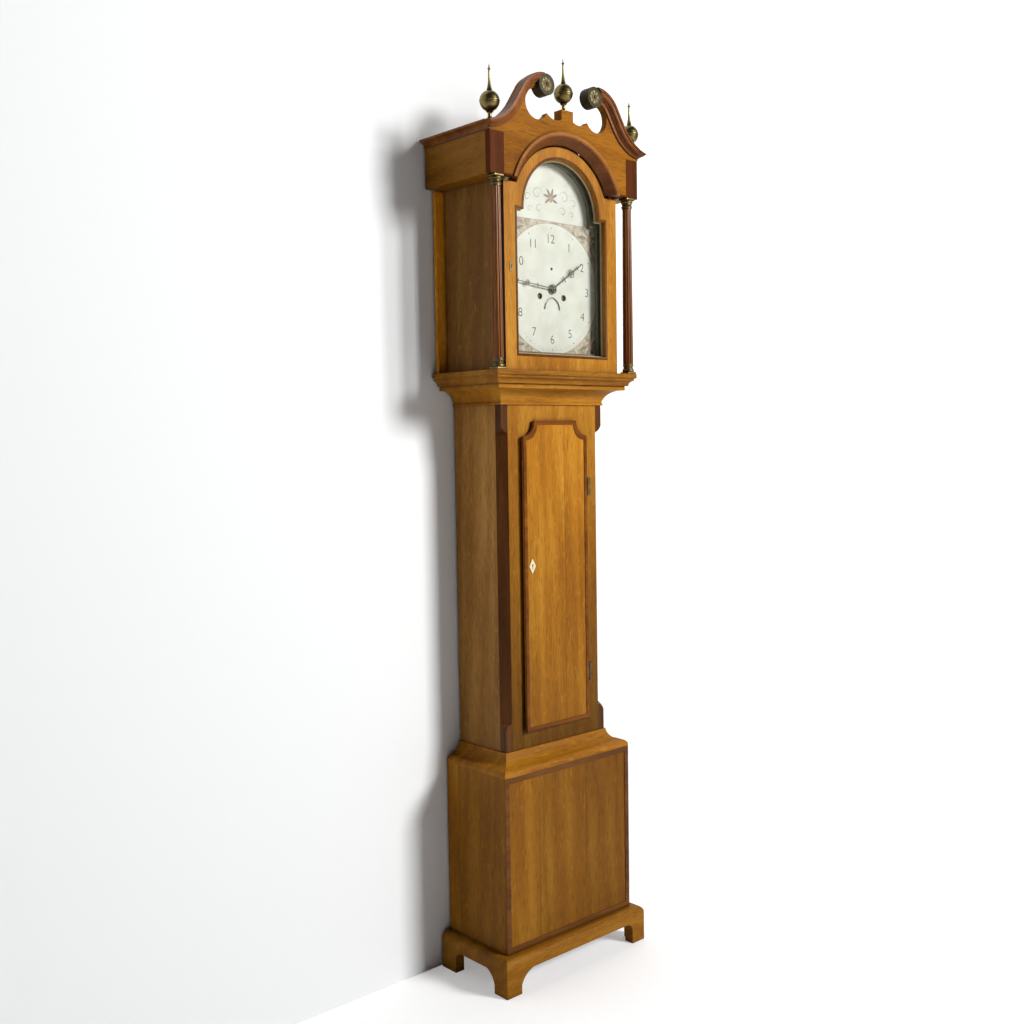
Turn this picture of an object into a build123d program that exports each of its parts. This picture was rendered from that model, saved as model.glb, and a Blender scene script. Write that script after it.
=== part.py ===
from build123d import *
import math
import os

os.makedirs("parts", exist_ok=True)

# Longcase clock, millimetres. X is across the front, -Y is the front, Z is up from the floor.
# Most places are given as a depth, the distance forward from the wall behind the case.
overall_depth = 261.0
back_y = overall_depth / 2

# Case widths and depths
trunk_half = 173.0
trunk_depth = 177.0
base_step = 45.0
plinth_step = 27.0
base_half = trunk_half + base_step
base_depth = trunk_depth + base_step
plinth_half = base_half + plinth_step
plinth_depth = base_depth + plinth_step

# Heights of the case, stacked from the floor
foot_clearance = 55.0
plinth_height = 91.0
base_top = 525.0
base_moulding_height = 47.0
trunk_height = 851.0
throat_height = 49.0
hood_moulding_height = 31.0
hood_opening_height = 447.0
frieze_height = 96.0
trunk_bottom = base_top + base_moulding_height
trunk_top = trunk_bottom + trunk_height
throat_top = trunk_top + throat_height
hood_floor = throat_top + hood_moulding_height
frieze_bottom = hood_floor + hood_opening_height
frieze_top = frieze_bottom + frieze_height

# Boards
board = 14.0
base_board = 18.0
back_board = 12.0
stile_board = 16.0
banding = 1.5
banding_width = 14.0
door_banding_width = 10.0
cant = 21.0
block_height = 38.0
lambs_tongue = 32.0
fit_gap = 0.3

# Trunk door
door_half = 113.0
door_bottom = trunk_bottom + 42.0
door_top = trunk_top - 39.0
door_notch = 38.0
door_lap = 7.0
door_lip = 7.0
door_ajar = 1.5
hinge_radius = 3.6
hinge_length = 45.0
trunk_hinge_x = door_half + 5.2
trunk_hinge_depth = trunk_depth + 4.2

# Hood
hood_side_clear = 16.0
hood_side_half = trunk_half + hood_side_clear + board
hood_rail_step = 67.0
frieze_overhang = 47.0
frieze_half = hood_side_half + frieze_overhang
frieze_depth = 242.0
pediment_board_thickness = 16.0
ear_half = frieze_half - 22.0
column_x = frieze_half - 26.0
column_depth = frieze_depth - 13.0
column_top_radius = 11.0
column_foot_radius = 13.2
cap_height = 26.0
arch_z = hood_floor + 383.0
arch_moulding_inner = 181.0
arch_moulding_outer = 192.0
cornice_tip = frieze_half + 17.0
cornice_height = 20.0
boss_x = 81.5
boss_z = frieze_top + 128.0
boss_radius = 25.0
scroll_x = 101.0
scroll_z = boss_z - 44.0
scroll_radius = 37.0
finial_block_half = 19.5
finial_block_top = boss_z - 44.0
finial_block_depth = 26.0
side_finial_x = frieze_half - 13.0
side_finial_z = frieze_top + 25.0
finial_depth = frieze_depth - 11.0
finial_height = 129.0
finial_ball = 24.0
finial_ball_rise = 43.0
finial_foot = 9.0

# Hood door and glass
hood_door_half = hood_side_half - 11.0
hood_door_thickness = 22.0
hood_door_depth = frieze_depth - 22.0
hood_door_bottom = hood_floor + 2.0
hood_door_shoulder = frieze_bottom - 6.0
hood_door_arch = 160.0
glass_half = 150.0
glass_bottom = hood_floor + 41.0
glass_shoulder = arch_z - 2.0
glass_arch = 128.0
glass_thickness = 3.0
rebate = 5.0

# Dial and movement
dial_z = hood_floor + 206.0
dial_half = 165.0
dial_arch = 133.0
dial_thickness = 2.0
dial_depth = 180.0
mask_depth = 190.0
mask_thickness = 8.0
mask_lap = 13.0
winding_x = 41.0
winding_drop = 19.0
seconds_rise = 50.0
plate_half = 88.0
plate_thickness = 3.0
plate_rise = 87.0
plate_drop = 90.0
front_plate_depth = 153.0
back_plate_depth = 85.0
seat_top = dial_z - plate_drop
seat_thickness = 20.0
pillar_radius = 4.5
arbor_radius = 1.6
pivot_gap = 0.05
calendar_drop = 48.0
calendar_radius = 28.0

# Going train: teeth, modules and planes
great_teeth = 96
centre_pinion = 8
centre_teeth = 60
third_pinion = 8
third_teeth = 56
escape_pinion = 7
escape_teeth = 30
escape_radius = 20.0
centre_module = 0.85
third_module = 0.80
great_plane = 91.0
centre_plane = 145.0
third_plane = 110.0
escape_plane = 100.0
wheel_thickness = 2.5
barrel_radius = 25.0
barrel_back = 98.0
barrel_front = 142.0
line_radius = 0.7
pressure_angle = math.radians(25)
addendum = 0.55
dedendum = 0.85
tooth_share = 0.44

# Strike train
strike_teeth = 84
pin_pinion = 8
pin_teeth = 64
pin_aim = 100.0
pin_module = 0.76
pin_circle = 22.6
hammer_x = -70.0
hammer_z = dial_z + 62.0
bell_radius = 46.0
bell_wall = 2.5
bell_skirt = 8.0
bell_x = -2.0
bell_depth = 106.0

# Hand work
cannon_teeth = 40
cannon_module = 0.70
minute_pinion = 8
hour_teeth = 96
minute_aim = 225.0
cannon_plane = 155.0
hour_plane = 159.0
hand_thickness = 1.4
minute_hand_length = 140.0
hour_hand_length = 121.0
minute_clock_angle = 276.0
hour_clock_angle = 56.0

# Pendulum and weights
pendulum_length = 994.0
pendulum_depth = 60.0
bob_radius = 56.0
bob_thickness = 24.0
weight_radius = 30.0
weight_length = 190.0
weight_bottom = base_top - 245.0
pulley_radius = barrel_radius
line_depth = 115.0

# Wall screw hole through the backboard
wall_hole_radius = 3.0
wall_hole_z = frieze_bottom + 40.0


def save(name, *shapes):
    """Write all solids of the shapes to one file."""
    solids = [solid for shape in shapes for solid in shape.solids()]
    whole = solids[0] if len(solids) == 1 else Compound(solids)
    export_step(whole, f"parts/{name}.step")


def both(shape):
    """The shape and its mirror image across the centre of the clock."""
    return [shape, mirror(shape, about=Plane.YZ)]


def slab(x0, x1, depth0, depth1, z0, z1):
    """Rectangular board between two x, two depths and two heights."""
    size = Box(x1 - x0, depth1 - depth0, z1 - z0, align=(Align.MIN, Align.MIN, Align.MIN))
    return Pos(x0, back_y - depth1, z0) * size


def face_from(start, *steps):
    """Closed face: a step is a corner, or a pair of a point on an arc and the arc's end."""
    edges = []
    here = start
    for step in steps:
        if isinstance(step[0], tuple):
            edges.append(ThreePointArc(here, step[0], step[1]))
            here = step[1]
        else:
            edges.append(Line(here, step))
            here = step
    edges.append(Line(here, start))
    return make_face(edges)


def plate(outline, depth0, depth1):
    """Outline drawn as seen from the front (x, z), as a plate between two depths."""
    return extrude(Plane.XZ.offset(depth0 - back_y) * outline, depth1 - depth0, dir=(0, -1, 0))


def side_plate(outline, x0, x1):
    """Outline drawn in (depth, z), as a plate between two x."""
    plane = Plane(origin=(x0, back_y, 0), x_dir=(0, -1, 0), z_dir=(-1, 0, 0))
    return extrude(plane * outline, x1 - x0, dir=(1, 0, 0))


def plan_plate(outline, z0, z1):
    """Outline drawn in (x, depth), as a prism between two heights."""
    plane = Plane(origin=(0, back_y, z0), x_dir=(1, 0, 0), z_dir=(0, 0, -1))
    return extrude(plane * outline, z1 - z0, dir=(0, 0, 1))


def rectangle(x0, x1, z0, z1):
    return Pos((x0 + x1) / 2, (z0 + z1) / 2) * Rectangle(x1 - x0, z1 - z0)


def disc(x, z, radius):
    return Pos(x, z) * Circle(radius)


def rod(x, z, radius, depth0, depth1):
    """Round rod lying front to back."""
    return plate(disc(x, z, radius), depth0, depth1)


def upright(x, depth, radius, z0, z1):
    """Round rod standing up."""
    return Pos(x, back_y - depth, (z0 + z1) / 2) * Cylinder(radius, z1 - z0)


def around_case(profile):
    """Sweep a (step out from the trunk, z) profile round the left, front and right of the case."""
    front_y = back_y - trunk_depth
    corners = [(-trunk_half, back_y), (-trunk_half, front_y), (trunk_half, front_y), (trunk_half, back_y)]
    path = Polyline([(x, y, 0) for x, y in corners])
    start = Plane(origin=(-trunk_half, back_y, 0), x_dir=(-1, 0, 0), z_dir=(0, 1, 0))
    return sweep(start * profile, path=path, transition=Transition.RIGHT)


# ---------------------------------------------------------------- case

def backboard():
    shape = rectangle(-base_half + base_board, base_half - base_board, foot_clearance + 5, base_top)
    shape += rectangle(-trunk_half + board, trunk_half - board, base_top, hood_floor + 0.5)
    shape += rectangle(-ear_half, ear_half, hood_floor + 0.5, frieze_bottom - 2)
    shape += rectangle(-200, 200, frieze_bottom - 2, frieze_top - 16)
    shape -= disc(0, wall_hole_z, wall_hole_radius)
    return plate(shape, 0, back_board)


def trunk_side():
    inner = trunk_half - board
    front = trunk_depth - cant
    lower = slab(inner, trunk_half, 0, front, base_top, hood_floor)
    return lower + slab(inner, trunk_half, back_board, front, hood_floor, seat_top - seat_thickness)


def notched(half, bottom, top, notch):
    """Door outline with hollow top corners."""
    corner = notch * math.sqrt(0.5)
    return face_from(
        (-half, bottom), (half, bottom), (half, top - notch),
        ((half - corner, top - corner), (half - notch, top)),
        (-half + notch, top), ((-half + corner, top - corner), (-half, top - notch)),
    )


def trunk_frame():
    opening = notched(door_half - door_lap, door_bottom + door_lap, door_top - door_lap, door_notch)
    frame = rectangle(-trunk_half + cant, trunk_half - cant, base_top - 20, throat_top) - opening
    return plate(frame, trunk_depth - stile_board, trunk_depth)


def canted_corner():
    inner = trunk_half - board
    low = base_top - 20
    strip = face_from(
        (trunk_half - cant, trunk_depth), (trunk_half, trunk_depth - cant),
        (inner, trunk_depth - cant), (trunk_half - cant, trunk_depth - stile_board),
    )
    fill = face_from(
        (trunk_half - cant, trunk_depth), (trunk_half, trunk_depth), (trunk_half, trunk_depth - cant),
    )
    foot = trunk_bottom + block_height
    head = trunk_top - block_height
    shape = plan_plate(strip, low, throat_top)
    shape += plan_plate(fill, low, foot) + plan_plate(fill, head, throat_top)
    out = cant * math.sqrt(0.5)
    middle = Plane(
        origin=(trunk_half - cant / 2, back_y - trunk_depth + cant / 2, 0),
        x_dir=(1, -1, 0), z_dir=(-1, -1, 0),
    )
    bend = math.sqrt(0.5)
    for z, up in ((foot, 1), (head, -1)):
        reach = lambda part: z + up * lambs_tongue * part
        curve = face_from(
            (-1, z), (out + 1, z), ((out * bend, reach(bend)), (0, reach(1))), (-1, reach(1)),
        )
        wedge = extrude(middle * curve, amount=cant, both=True)
        low_end, high_end = sorted((z, reach(1)))
        shape += wedge & plan_plate(fill, low_end, high_end)
    return shape


def base_side():
    return slab(base_half - base_board, base_half, 0, base_depth - base_board, foot_clearance - 5, base_top)


def base_panel():
    low = foot_clearance - 5
    return slab(-base_half, base_half, base_depth - base_board, base_depth - banding, low, base_top)


def base_crossbanding():
    low = plinth_height + 0.5
    inner = rectangle(
        -base_half + banding_width, base_half - banding_width, low + banding_width, base_top - banding_width,
    )
    return plate(rectangle(-base_half, base_half, low, base_top) - inner, base_depth - banding, base_depth)


def base_moulding():
    step = base_step
    profile = face_from(
        (0, base_top), (step, base_top), (step, base_top + 6),
        ((step - 3, base_top + 12), (step - 12, base_top + 17)), (step - 14, base_top + 16),
        ((12, base_top + 27), (3, trunk_bottom)), (0, trunk_bottom),
    )
    return around_case(profile)


def plinth():
    top = plinth_height
    inner = base_step
    outer = base_step + plinth_step
    profile = face_from(
        (inner, 0), (outer, 0), (outer, top - 14),
        ((outer - 5, top - 5), (inner + 14, top)), (inner, top),
    )
    shape = around_case(profile)
    rise = foot_clearance
    curve_z = 0.4 * rise
    front_cut = face_from(
        (-197, -1), (200, -1), (200, rise - 20), ((193, rise - 5), (178, rise)), (-157, rise),
        ((-186, rise - 16), (-197, curve_z)),
    )
    side_cut = face_from(
        (54, -1), (202, -1), (202, curve_z), ((194, rise - 16), (174, rise)), (76, rise),
        ((61, rise - 5), (54, rise - 20)),
    )
    shape -= plate(front_cut, base_depth - 60, plinth_depth + 5)
    shape -= side_plate(side_cut, -plinth_half - 5, plinth_half + 5)
    return shape


def throat():
    z = trunk_top
    profile = face_from(
        (0, z), (4, z), (4, z + 5), (2, z + 7), ((14, z + 28), (43, throat_top - 11)),
        (base_step, throat_top - 11), (base_step, throat_top), (0, throat_top),
    )
    return around_case(profile)


def seatboard():
    shape = slab(-trunk_half, trunk_half, 80, 160, seat_top - seat_thickness, seat_top)
    for side in (-1, 1):
        for fall in (-1, 1):
            x = side * winding_x + fall * barrel_radius
            shape -= upright(x, line_depth, 5, seat_top - seat_thickness - 1, seat_top + 1)
    return shape


save("backboard", backboard())
save("trunk_sides", *both(trunk_side()))
save("trunk_front_frame", trunk_frame())
save("canted_corners", *both(canted_corner()))
save("base_sides", *both(base_side()))
save("base_front_panel", base_panel())
save("base_crossbanding", base_crossbanding())
save("base_top_moulding", base_moulding())
save("bracket_plinth", plinth())
save("throat_moulding", throat())
save("seatboard", seatboard())


# ---------------------------------------------------------------- trunk door

trunk_axis = Axis((trunk_hinge_x, back_y - trunk_hinge_depth, 0), (0, 0, 1))


def ajar(shape):
    """Turn a door piece to its resting place, a little open."""
    return shape.rotate(trunk_axis, door_ajar)


def door_panel():
    lip = notched(door_half, door_bottom, door_top, door_notch)
    lap = door_lap + 1.5
    body = notched(door_half - lap, door_bottom + lap, door_top - lap, door_notch)
    front = trunk_depth + fit_gap
    return plate(body, trunk_depth - stile_board + 1, front) + plate(lip, front, front + door_lip - banding)


def door_banding():
    outer = notched(door_half, door_bottom, door_top, door_notch)
    edge = door_banding_width
    inner = notched(door_half - edge, door_bottom + edge, door_top - edge, door_notch)
    front = trunk_depth + fit_gap + door_lip
    return plate(outer - inner, front - banding, front)


def bone_escutcheon():
    x = -door_half + 26
    z = door_bottom + 412
    kite = Polyline([(x, z + 19), (x + 11, z), (x, z - 19), (x - 11, z)], close=True)
    key = disc(x, z + 2, 3) + rectangle(x - 1.2, x + 1.2, z - 8, z + 2)
    front = trunk_depth + fit_gap + door_lip - banding
    return plate(make_face(kite) - key, front, front + 1.2)


def knuckles(z_centre, offsets, length):
    return [
        upright(trunk_hinge_x, trunk_hinge_depth, hinge_radius, z_centre + z - length / 2, z_centre + z + length / 2)
        for z in offsets
    ]


def door_hinge(z_centre):
    tab = slab(door_half, trunk_hinge_x, trunk_hinge_depth - 1, trunk_hinge_depth + 1,
               z_centre - 6.7, z_centre + 6.7)
    return tab + knuckles(z_centre, (0,), 13.4)[0]


def frame_hinge(z_centre):
    offset = hinge_length / 3
    leaves = []
    for side in (-1, 1):
        low = z_centre + side * offset - 7.5
        barrel = knuckles(z_centre, (side * offset,), 15)[0]
        leaf = slab(trunk_hinge_x, trunk_hinge_x + 14, trunk_depth, trunk_depth + 1.5, low, low + 15)
        leaves.append(barrel + leaf)
    return leaves


hinge_heights = (door_bottom + 118, door_top - 169)
save("trunk_door_panel", ajar(door_panel()))
save("trunk_door_banding", ajar(door_banding()))
save("trunk_door_escutcheon", ajar(bone_escutcheon()))
save("trunk_door_hinges", *[ajar(door_hinge(z)) for z in hinge_heights])
save("trunk_hinge_leaves", *[leaf for z in hinge_heights for leaf in frame_hinge(z)])


# ---------------------------------------------------------------- hood

def hood_base():
    z = throat_top
    out = hood_rail_step
    profile = face_from(
        (1, z), (out - 15, z), ((out - 13, z + 8), (out - 5, z + 13)), (out - 5, z + 18),
        (out - 1, z + 20), ((out, z + 22), (out, z + 24)), (out, hood_floor), (1, hood_floor),
    )
    shape = around_case(profile)
    return shape - slab(-trunk_half - 30, trunk_half + 30, 0, back_board + 1, z + 30, hood_floor + 1)


def hood_side():
    return slab(hood_side_half - board, hood_side_half, back_board + 2,
                hood_door_depth - hood_door_thickness - 0.5, hood_floor, frieze_top - 10)


def frieze_box():
    outer = frieze_half
    front = frieze_depth - pediment_board_thickness
    shape = slab(outer - board, outer, 0, front, frieze_bottom, frieze_top + cornice_height - 1)
    shape += slab(hood_side_half, outer, back_board + 2, front, frieze_bottom, frieze_bottom + 10)
    block = 12.0
    shape += slab(side_finial_x - block, side_finial_x + block, finial_depth - block, finial_depth - 5,
                  frieze_top - 10, side_finial_z)
    return shape


def polar(centre, radius, degrees):
    turn = math.radians(degrees)
    return (centre[0] + radius * math.cos(turn), centre[1] + radius * math.sin(turn))


crest_centre = (90.0, boss_z - 57.0)
crest_radius = 82.0
rake = 33.0
rake_run = 48.0


def neck_points(inset, width=28.0):
    """Points of one edge of the swan-neck: crest, fall, hollow and foot; inset 0 is outer, 1 inner."""
    radius = crest_radius - width * inset
    crest = polar(crest_centre, radius, 90)
    crest_middle = polar(crest_centre, radius, 60)
    fall = polar(crest_centre, radius, rake)
    hollow = polar(fall, rake_run, rake - 90)
    foot = (cornice_tip - 17 * inset, frieze_top + 18 - 13 * inset)
    chord = math.dist(hollow, foot)
    chord_angle = math.degrees(math.atan2(foot[1] - hollow[1], foot[0] - hollow[0]))
    half_turn = chord_angle - (rake - 90)
    hollow_radius = chord / (2 * math.sin(math.radians(half_turn)))
    centre = polar(hollow, hollow_radius, rake)
    hollow_middle = polar(centre, hollow_radius, rake + 180 + half_turn)
    return crest, crest_middle, fall, hollow, hollow_middle, foot


def neck_band(outer_inset, inner_inset):
    """Face of the swan-neck between two insets."""
    top, top_mid, fall, hollow, hollow_mid, foot = neck_points(outer_inset)
    in_top, in_mid, in_fall, in_hollow, in_hollow_mid, in_foot = neck_points(inner_inset)
    return face_from(
        top, (top_mid, fall), hollow, (hollow_mid, foot), in_foot,
        (in_hollow_mid, in_hollow), in_fall, (in_mid, in_top),
    )


def half_pediment():
    """Right half of the front board above the frieze, under the swan-neck."""
    top, top_mid, fall, hollow, hollow_mid, foot = neck_points(0.1)
    low = frieze_top - 6
    centre = (scroll_x, scroll_z)
    cusp = polar(centre, scroll_radius, 208)
    step = (finial_block_half, finial_block_top - 24)
    shape = face_from(
        (0, low), (frieze_half, low), (foot[0], frieze_top), foot, (hollow_mid, hollow), fall, (top_mid, top),
        (boss_x, boss_z), polar(centre, scroll_radius, 55),
        (polar(centre, scroll_radius, -20), polar(centre, scroll_radius, 270)),
        (polar(centre, scroll_radius, 240), cusp),
        ((38, step[1] - 5), step), (0, step[1]),
    )
    shape -= disc(boss_x, boss_z, boss_radius)
    return shape & rectangle(-1, frieze_half, low - 1, boss_z + boss_radius)


def pediment_board():
    half = half_pediment()
    outline = rectangle(-frieze_half, frieze_half, frieze_bottom, frieze_top) + half + mirror(half, about=Plane.YZ)
    outline -= disc(0, arch_z, arch_moulding_inner)
    front = frieze_depth
    shape = plate(outline, front - pediment_board_thickness, front)
    low = finial_block_top - 30
    shape += slab(-finial_block_half, finial_block_half, front - finial_block_depth, front, low, finial_block_top)
    notch_x = side_finial_x - finial_foot - 1
    notch = slab(notch_x, frieze_half + 1, front - pediment_board_thickness - 1, front + 1, side_finial_z, boss_z)
    return shape - notch - mirror(notch, about=Plane.YZ)


def swan_neck():
    front = frieze_depth
    shape = plate(neck_band(0, 1), front, front + 7)
    shape += plate(neck_band(0, 0.62), front + 7, front + 13)
    shape += plate(neck_band(0, 0.3), front + 13, overall_depth)
    return shape - rod(boss_x, boss_z, boss_radius + fit_gap, front - 1, overall_depth + 1)


def side_cornice():
    x = frieze_half
    z = frieze_top
    profile = face_from(
        (x, z + 2), (x + 2, z + 2), ((x + 7, z + 12), (cornice_tip - 2, z + 14)),
        (cornice_tip, z + 14), (cornice_tip, z + cornice_height), (x, z + cornice_height),
    )
    return plate(profile, 0, frieze_depth)


def boss():
    return rod(boss_x, boss_z, boss_radius, frieze_depth - 14, overall_depth - 4)


def rosette():
    x = boss_x
    front = overall_depth - 4
    shape = rod(x, boss_z, 16, front, front + 1.6) + rod(x, boss_z, 8, front + 1.6, overall_depth - 0.5)
    return shape


def arch_moulding():
    inner = hood_door_arch + 4
    step = arch_moulding_inner
    outer = arch_moulding_outer
    front = frieze_depth
    back = hood_door_depth + 1.5
    section = face_from(
        (inner, back), (step, back), (step, front), (outer, front), (outer, front + 4),
        (outer - 2, front + 5), (step + 3, front + 5), ((step - 9, front - 8), (inner, back + 3)),
    )
    plane = Plane(origin=(0, back_y, arch_z), x_dir=(1, 0, 0), z_dir=(0, 0, -1))
    ring = revolve(plane * section, axis=Axis((0, 0, arch_z), (0, 1, 0)), revolution_arc=360)
    keep = slab(-outer - 9, outer + 9, 0, overall_depth, frieze_bottom, frieze_top + 90)
    return ring & keep


def turned(x, depth, z, points):
    """Turned piece from (radius, height) steps, standing at a place."""
    section = face_from((0, 0), *points)
    solid = revolve(Plane.XZ * section, axis=Axis.Z, revolution_arc=360)
    return Pos(x, back_y - depth, z) * solid


def column():
    z0 = hood_floor + cap_height
    z1 = frieze_bottom - cap_height
    foot = column_foot_radius
    top = column_top_radius
    return turned(column_x, column_depth, z0, [(foot, 0), (top, z1 - z0), (0, z1 - z0)])


def column_cap(z, up):
    """Brass cap with a square plate away from the shaft; up is -1 for the capital."""
    half = 15.0
    foot = column_foot_radius
    plate_z = min(z, z + up * 5)
    square = slab(column_x - half, column_x + half, column_depth - half, column_depth + half, plate_z, plate_z + 5)
    ring = turned(0, back_y, 0, [
        (half - 0.5, 0), ((half + 0.4, 4), (half - 0.8, 8)), (foot, 11), (foot, 16),
        (foot + 0.8, 18), (foot, cap_height - 5), (0, cap_height - 5),
    ])
    if up < 0:
        ring = mirror(ring, about=Plane.XY)
    return square + Pos(column_x, back_y - column_depth, z + up * 5) * ring


def finial(x, z, depth):
    ball = finial_ball
    ball_z = finial_ball_rise
    neck = ball_z - math.sqrt(ball ** 2 - 25)
    crown = ball_z + math.sqrt(ball ** 2 - 16)
    return turned(x, depth, z, [
        (finial_foot, 0), (finial_foot, 3), ((3.5, 8), (5, neck)), ((ball, ball_z), (4, crown)),
        (4, crown + 3), (1.8, finial_height - 15), (3, finial_height - 14), (1.4, finial_height - 11), (0, finial_height),
    ])


def side_finial(side):
    return finial(side * side_finial_x, side_finial_z, finial_depth - 3)


def opening_outline(grow):
    """Glass opening with its arch, grown all round by a margin."""
    half = glass_half + grow
    lower = rectangle(-half, half, glass_bottom - grow, glass_shoulder + grow)
    return lower + disc(0, arch_z + 2, glass_arch + grow)


def roof_board():
    half = frieze_half - board
    front = hood_door_depth - hood_door_thickness - 1
    shape = slab(-half, half, 2, front, frieze_top - 10, frieze_top)
    return shape + slab(-boss_x, boss_x, front - 8, front, frieze_top, arch_z + arch_moulding_outer)


def dial_mask():
    half = hood_side_half - board - 0.5
    outer = rectangle(-half, half, hood_floor, frieze_top - 12)
    inner = rectangle(-dial_half + mask_lap, dial_half - mask_lap, dial_z - dial_half + 8, dial_z + dial_half - 2)
    inner += disc(0, arch_z, dial_arch - 6)
    return plate(outer - inner, mask_depth - mask_thickness, mask_depth)


save("hood_base_moulding", hood_base())
save("hood_side_boards", *both(hood_side()))
save("frieze_side_boxes", *both(frieze_box()))
save("hood_roof_board", roof_board())
save("pediment_board", pediment_board())
save("cornice_moulding", *both(swan_neck()), *both(side_cornice()))
save("pediment_bosses", *both(boss()))
save("boss_rosettes", *both(rosette()))
save("arch_moulding", arch_moulding())
save("hood_columns", *both(column()))
save("column_caps", *both(column_cap(hood_floor, 1)), *both(column_cap(frieze_bottom, -1)))
save("finials", side_finial(-1), side_finial(1), finial(0, finial_block_top, finial_depth - 2))
save("dial_mask", dial_mask())


# ---------------------------------------------------------------- hood door

def hood_door_frame():
    outer = rectangle(-hood_door_half, hood_door_half, hood_door_bottom, hood_door_shoulder)
    outer += disc(0, arch_z, hood_door_arch)
    back = hood_door_depth - hood_door_thickness
    shape = plate(outer - opening_outline(0), back, hood_door_depth)
    return shape - plate(opening_outline(rebate), back - 1, back + 7)


def hood_glass():
    back = hood_door_depth - hood_door_thickness
    return plate(opening_outline(rebate - fit_gap), back + 7 - glass_thickness, back + 7)


def hood_escutcheon():
    x = -hood_door_half + 21
    z = hood_floor + 243
    oval = rectangle(x - 5, x + 5, z - 7, z + 7) + disc(x, z + 7, 5) + disc(x, z - 7, 5)
    key = disc(x, z + 3, 2) + rectangle(x - 0.8, x + 0.8, z - 5, z + 3)
    return plate(oval - key, hood_door_depth, hood_door_depth + 1.2)


save("hood_door_frame", hood_door_frame())
save("hood_door_glass", hood_glass())
save("hood_door_escutcheon", hood_escutcheon())


# ---------------------------------------------------------------- wheels

def toothed(teeth, module, aim):
    """Wheel outline about the origin; a tooth points along aim, in degrees."""
    pitch = teeth * module / 2
    root = pitch - dedendum * module
    base = pitch * math.cos(pressure_angle)
    radii = sorted({root, max(root, base), pitch, pitch + addendum * module})
    involute = lambda angle: math.tan(angle) - angle
    at_pitch = tooth_share * math.pi / teeth + involute(pressure_angle)

    def half_angle(radius):
        return at_pitch - involute(math.acos(min(1.0, base / radius)))

    points = []
    for tooth in range(teeth):
        middle = math.radians(aim) + 2 * math.pi * tooth / teeth
        rising = [(radius, middle - half_angle(radius)) for radius in radii]
        falling = [(radius, middle + half_angle(radius)) for radius in reversed(radii)]
        points += [(radius * math.cos(turn), radius * math.sin(turn)) for radius, turn in rising + falling]
    return make_face(Polyline(points, close=True))


def crossings(rim_radius, hub_radius, bar):
    """Four openings between the rim and the hub, with four straight arms."""
    arms = Rectangle(2 * rim_radius + 1, bar) + Rectangle(bar, 2 * rim_radius + 1)
    return Circle(rim_radius) - arms - Circle(hub_radius)


def wheel(centre, teeth, module, plane, aim, thickness=wheel_thickness):
    pitch = teeth * module / 2
    outline = toothed(teeth, module, aim)
    if pitch > 12:
        outline -= crossings(pitch - 3.5 * module, 5.0, 3.5)
    return plate(Pos(*centre) * outline, plane, plane + thickness)


def mesh_aim(teeth, direction):
    """Tooth angle of a wheel whose partner's tooth points at it from the given direction."""
    return direction + 180 + 180 / teeth


def direction_to(start, end):
    return math.degrees(math.atan2(end[1] - start[1], end[0] - start[0]))


centre_at = (0.0, dial_z)
going_at = (winding_x, dial_z - winding_drop)
strike_at = (-winding_x, dial_z - winding_drop)
escape_at = (0.0, dial_z + seconds_rise)
pallet_at = (0.0, escape_at[1] + escape_radius * math.sqrt(2))
great_module = 2 * math.dist(centre_at, going_at) / (great_teeth + centre_pinion)
centre_to_third = centre_module * (centre_teeth + third_pinion) / 2
third_to_escape = third_module * (third_teeth + escape_pinion) / 2
third_rise = (centre_to_third ** 2 - third_to_escape ** 2 + seconds_rise ** 2) / (2 * seconds_rise)
third_at = (math.sqrt(centre_to_third ** 2 - third_rise ** 2), dial_z + third_rise)
pin_at = polar(strike_at, great_module * (strike_teeth + pin_pinion) / 2, pin_aim)
minute_at = polar(centre_at, cannon_module * cannon_teeth, minute_aim)
hour_module = 2 * cannon_module * cannon_teeth / (minute_pinion + hour_teeth)
back_arbor = back_plate_depth - 1
front_arbor = front_plate_depth + 1


def movement_plate(depth):
    outline = rectangle(-plate_half, plate_half, seat_top, dial_z + plate_rise)
    holes = [(centre_at, arbor_radius), (going_at, 3), (strike_at, 3), (third_at, arbor_radius),
             (escape_at, arbor_radius), (pallet_at, arbor_radius), (pin_at, arbor_radius),
             ((hammer_x, hammer_z), arbor_radius)]
    for place, radius in holes:
        outline -= disc(place[0], place[1], radius + pivot_gap)
    return plate(outline, depth, depth + plate_thickness)


def pillars():
    return [
        rod(x, z, pillar_radius, back_plate_depth + plate_thickness, front_plate_depth - plate_thickness)
        for x in (-plate_half + 8, plate_half - 8)
        for z in (seat_top + 12, dial_z + plate_rise - 10)
    ]


def great_wheel(place, teeth, aim):
    shape = wheel(place, teeth, great_module, great_plane, aim)
    return shape - rod(place[0], place[1], 3 + pivot_gap, great_plane - 1, great_plane + wheel_thickness + 1)


def barrel(place):
    """Winding barrel with its arbor and square."""
    shape = rod(place[0], place[1], barrel_radius, barrel_back, barrel_front)
    shape += rod(place[0], place[1], barrel_radius + 3, barrel_back - 2, barrel_back)
    shape += rod(place[0], place[1], barrel_radius + 3, barrel_front, barrel_front + 1.5)
    shape += rod(place[0], place[1], 3, back_arbor, front_arbor)
    square = Pos(*place) * Rectangle(5, 5)
    return shape + plate(square, front_arbor, dial_depth - 4)


def arbor_with(place, parts, back=back_arbor, front=front_arbor):
    shape = rod(place[0], place[1], arbor_radius, back, front)
    for part in parts:
        shape += part
    return shape


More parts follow.
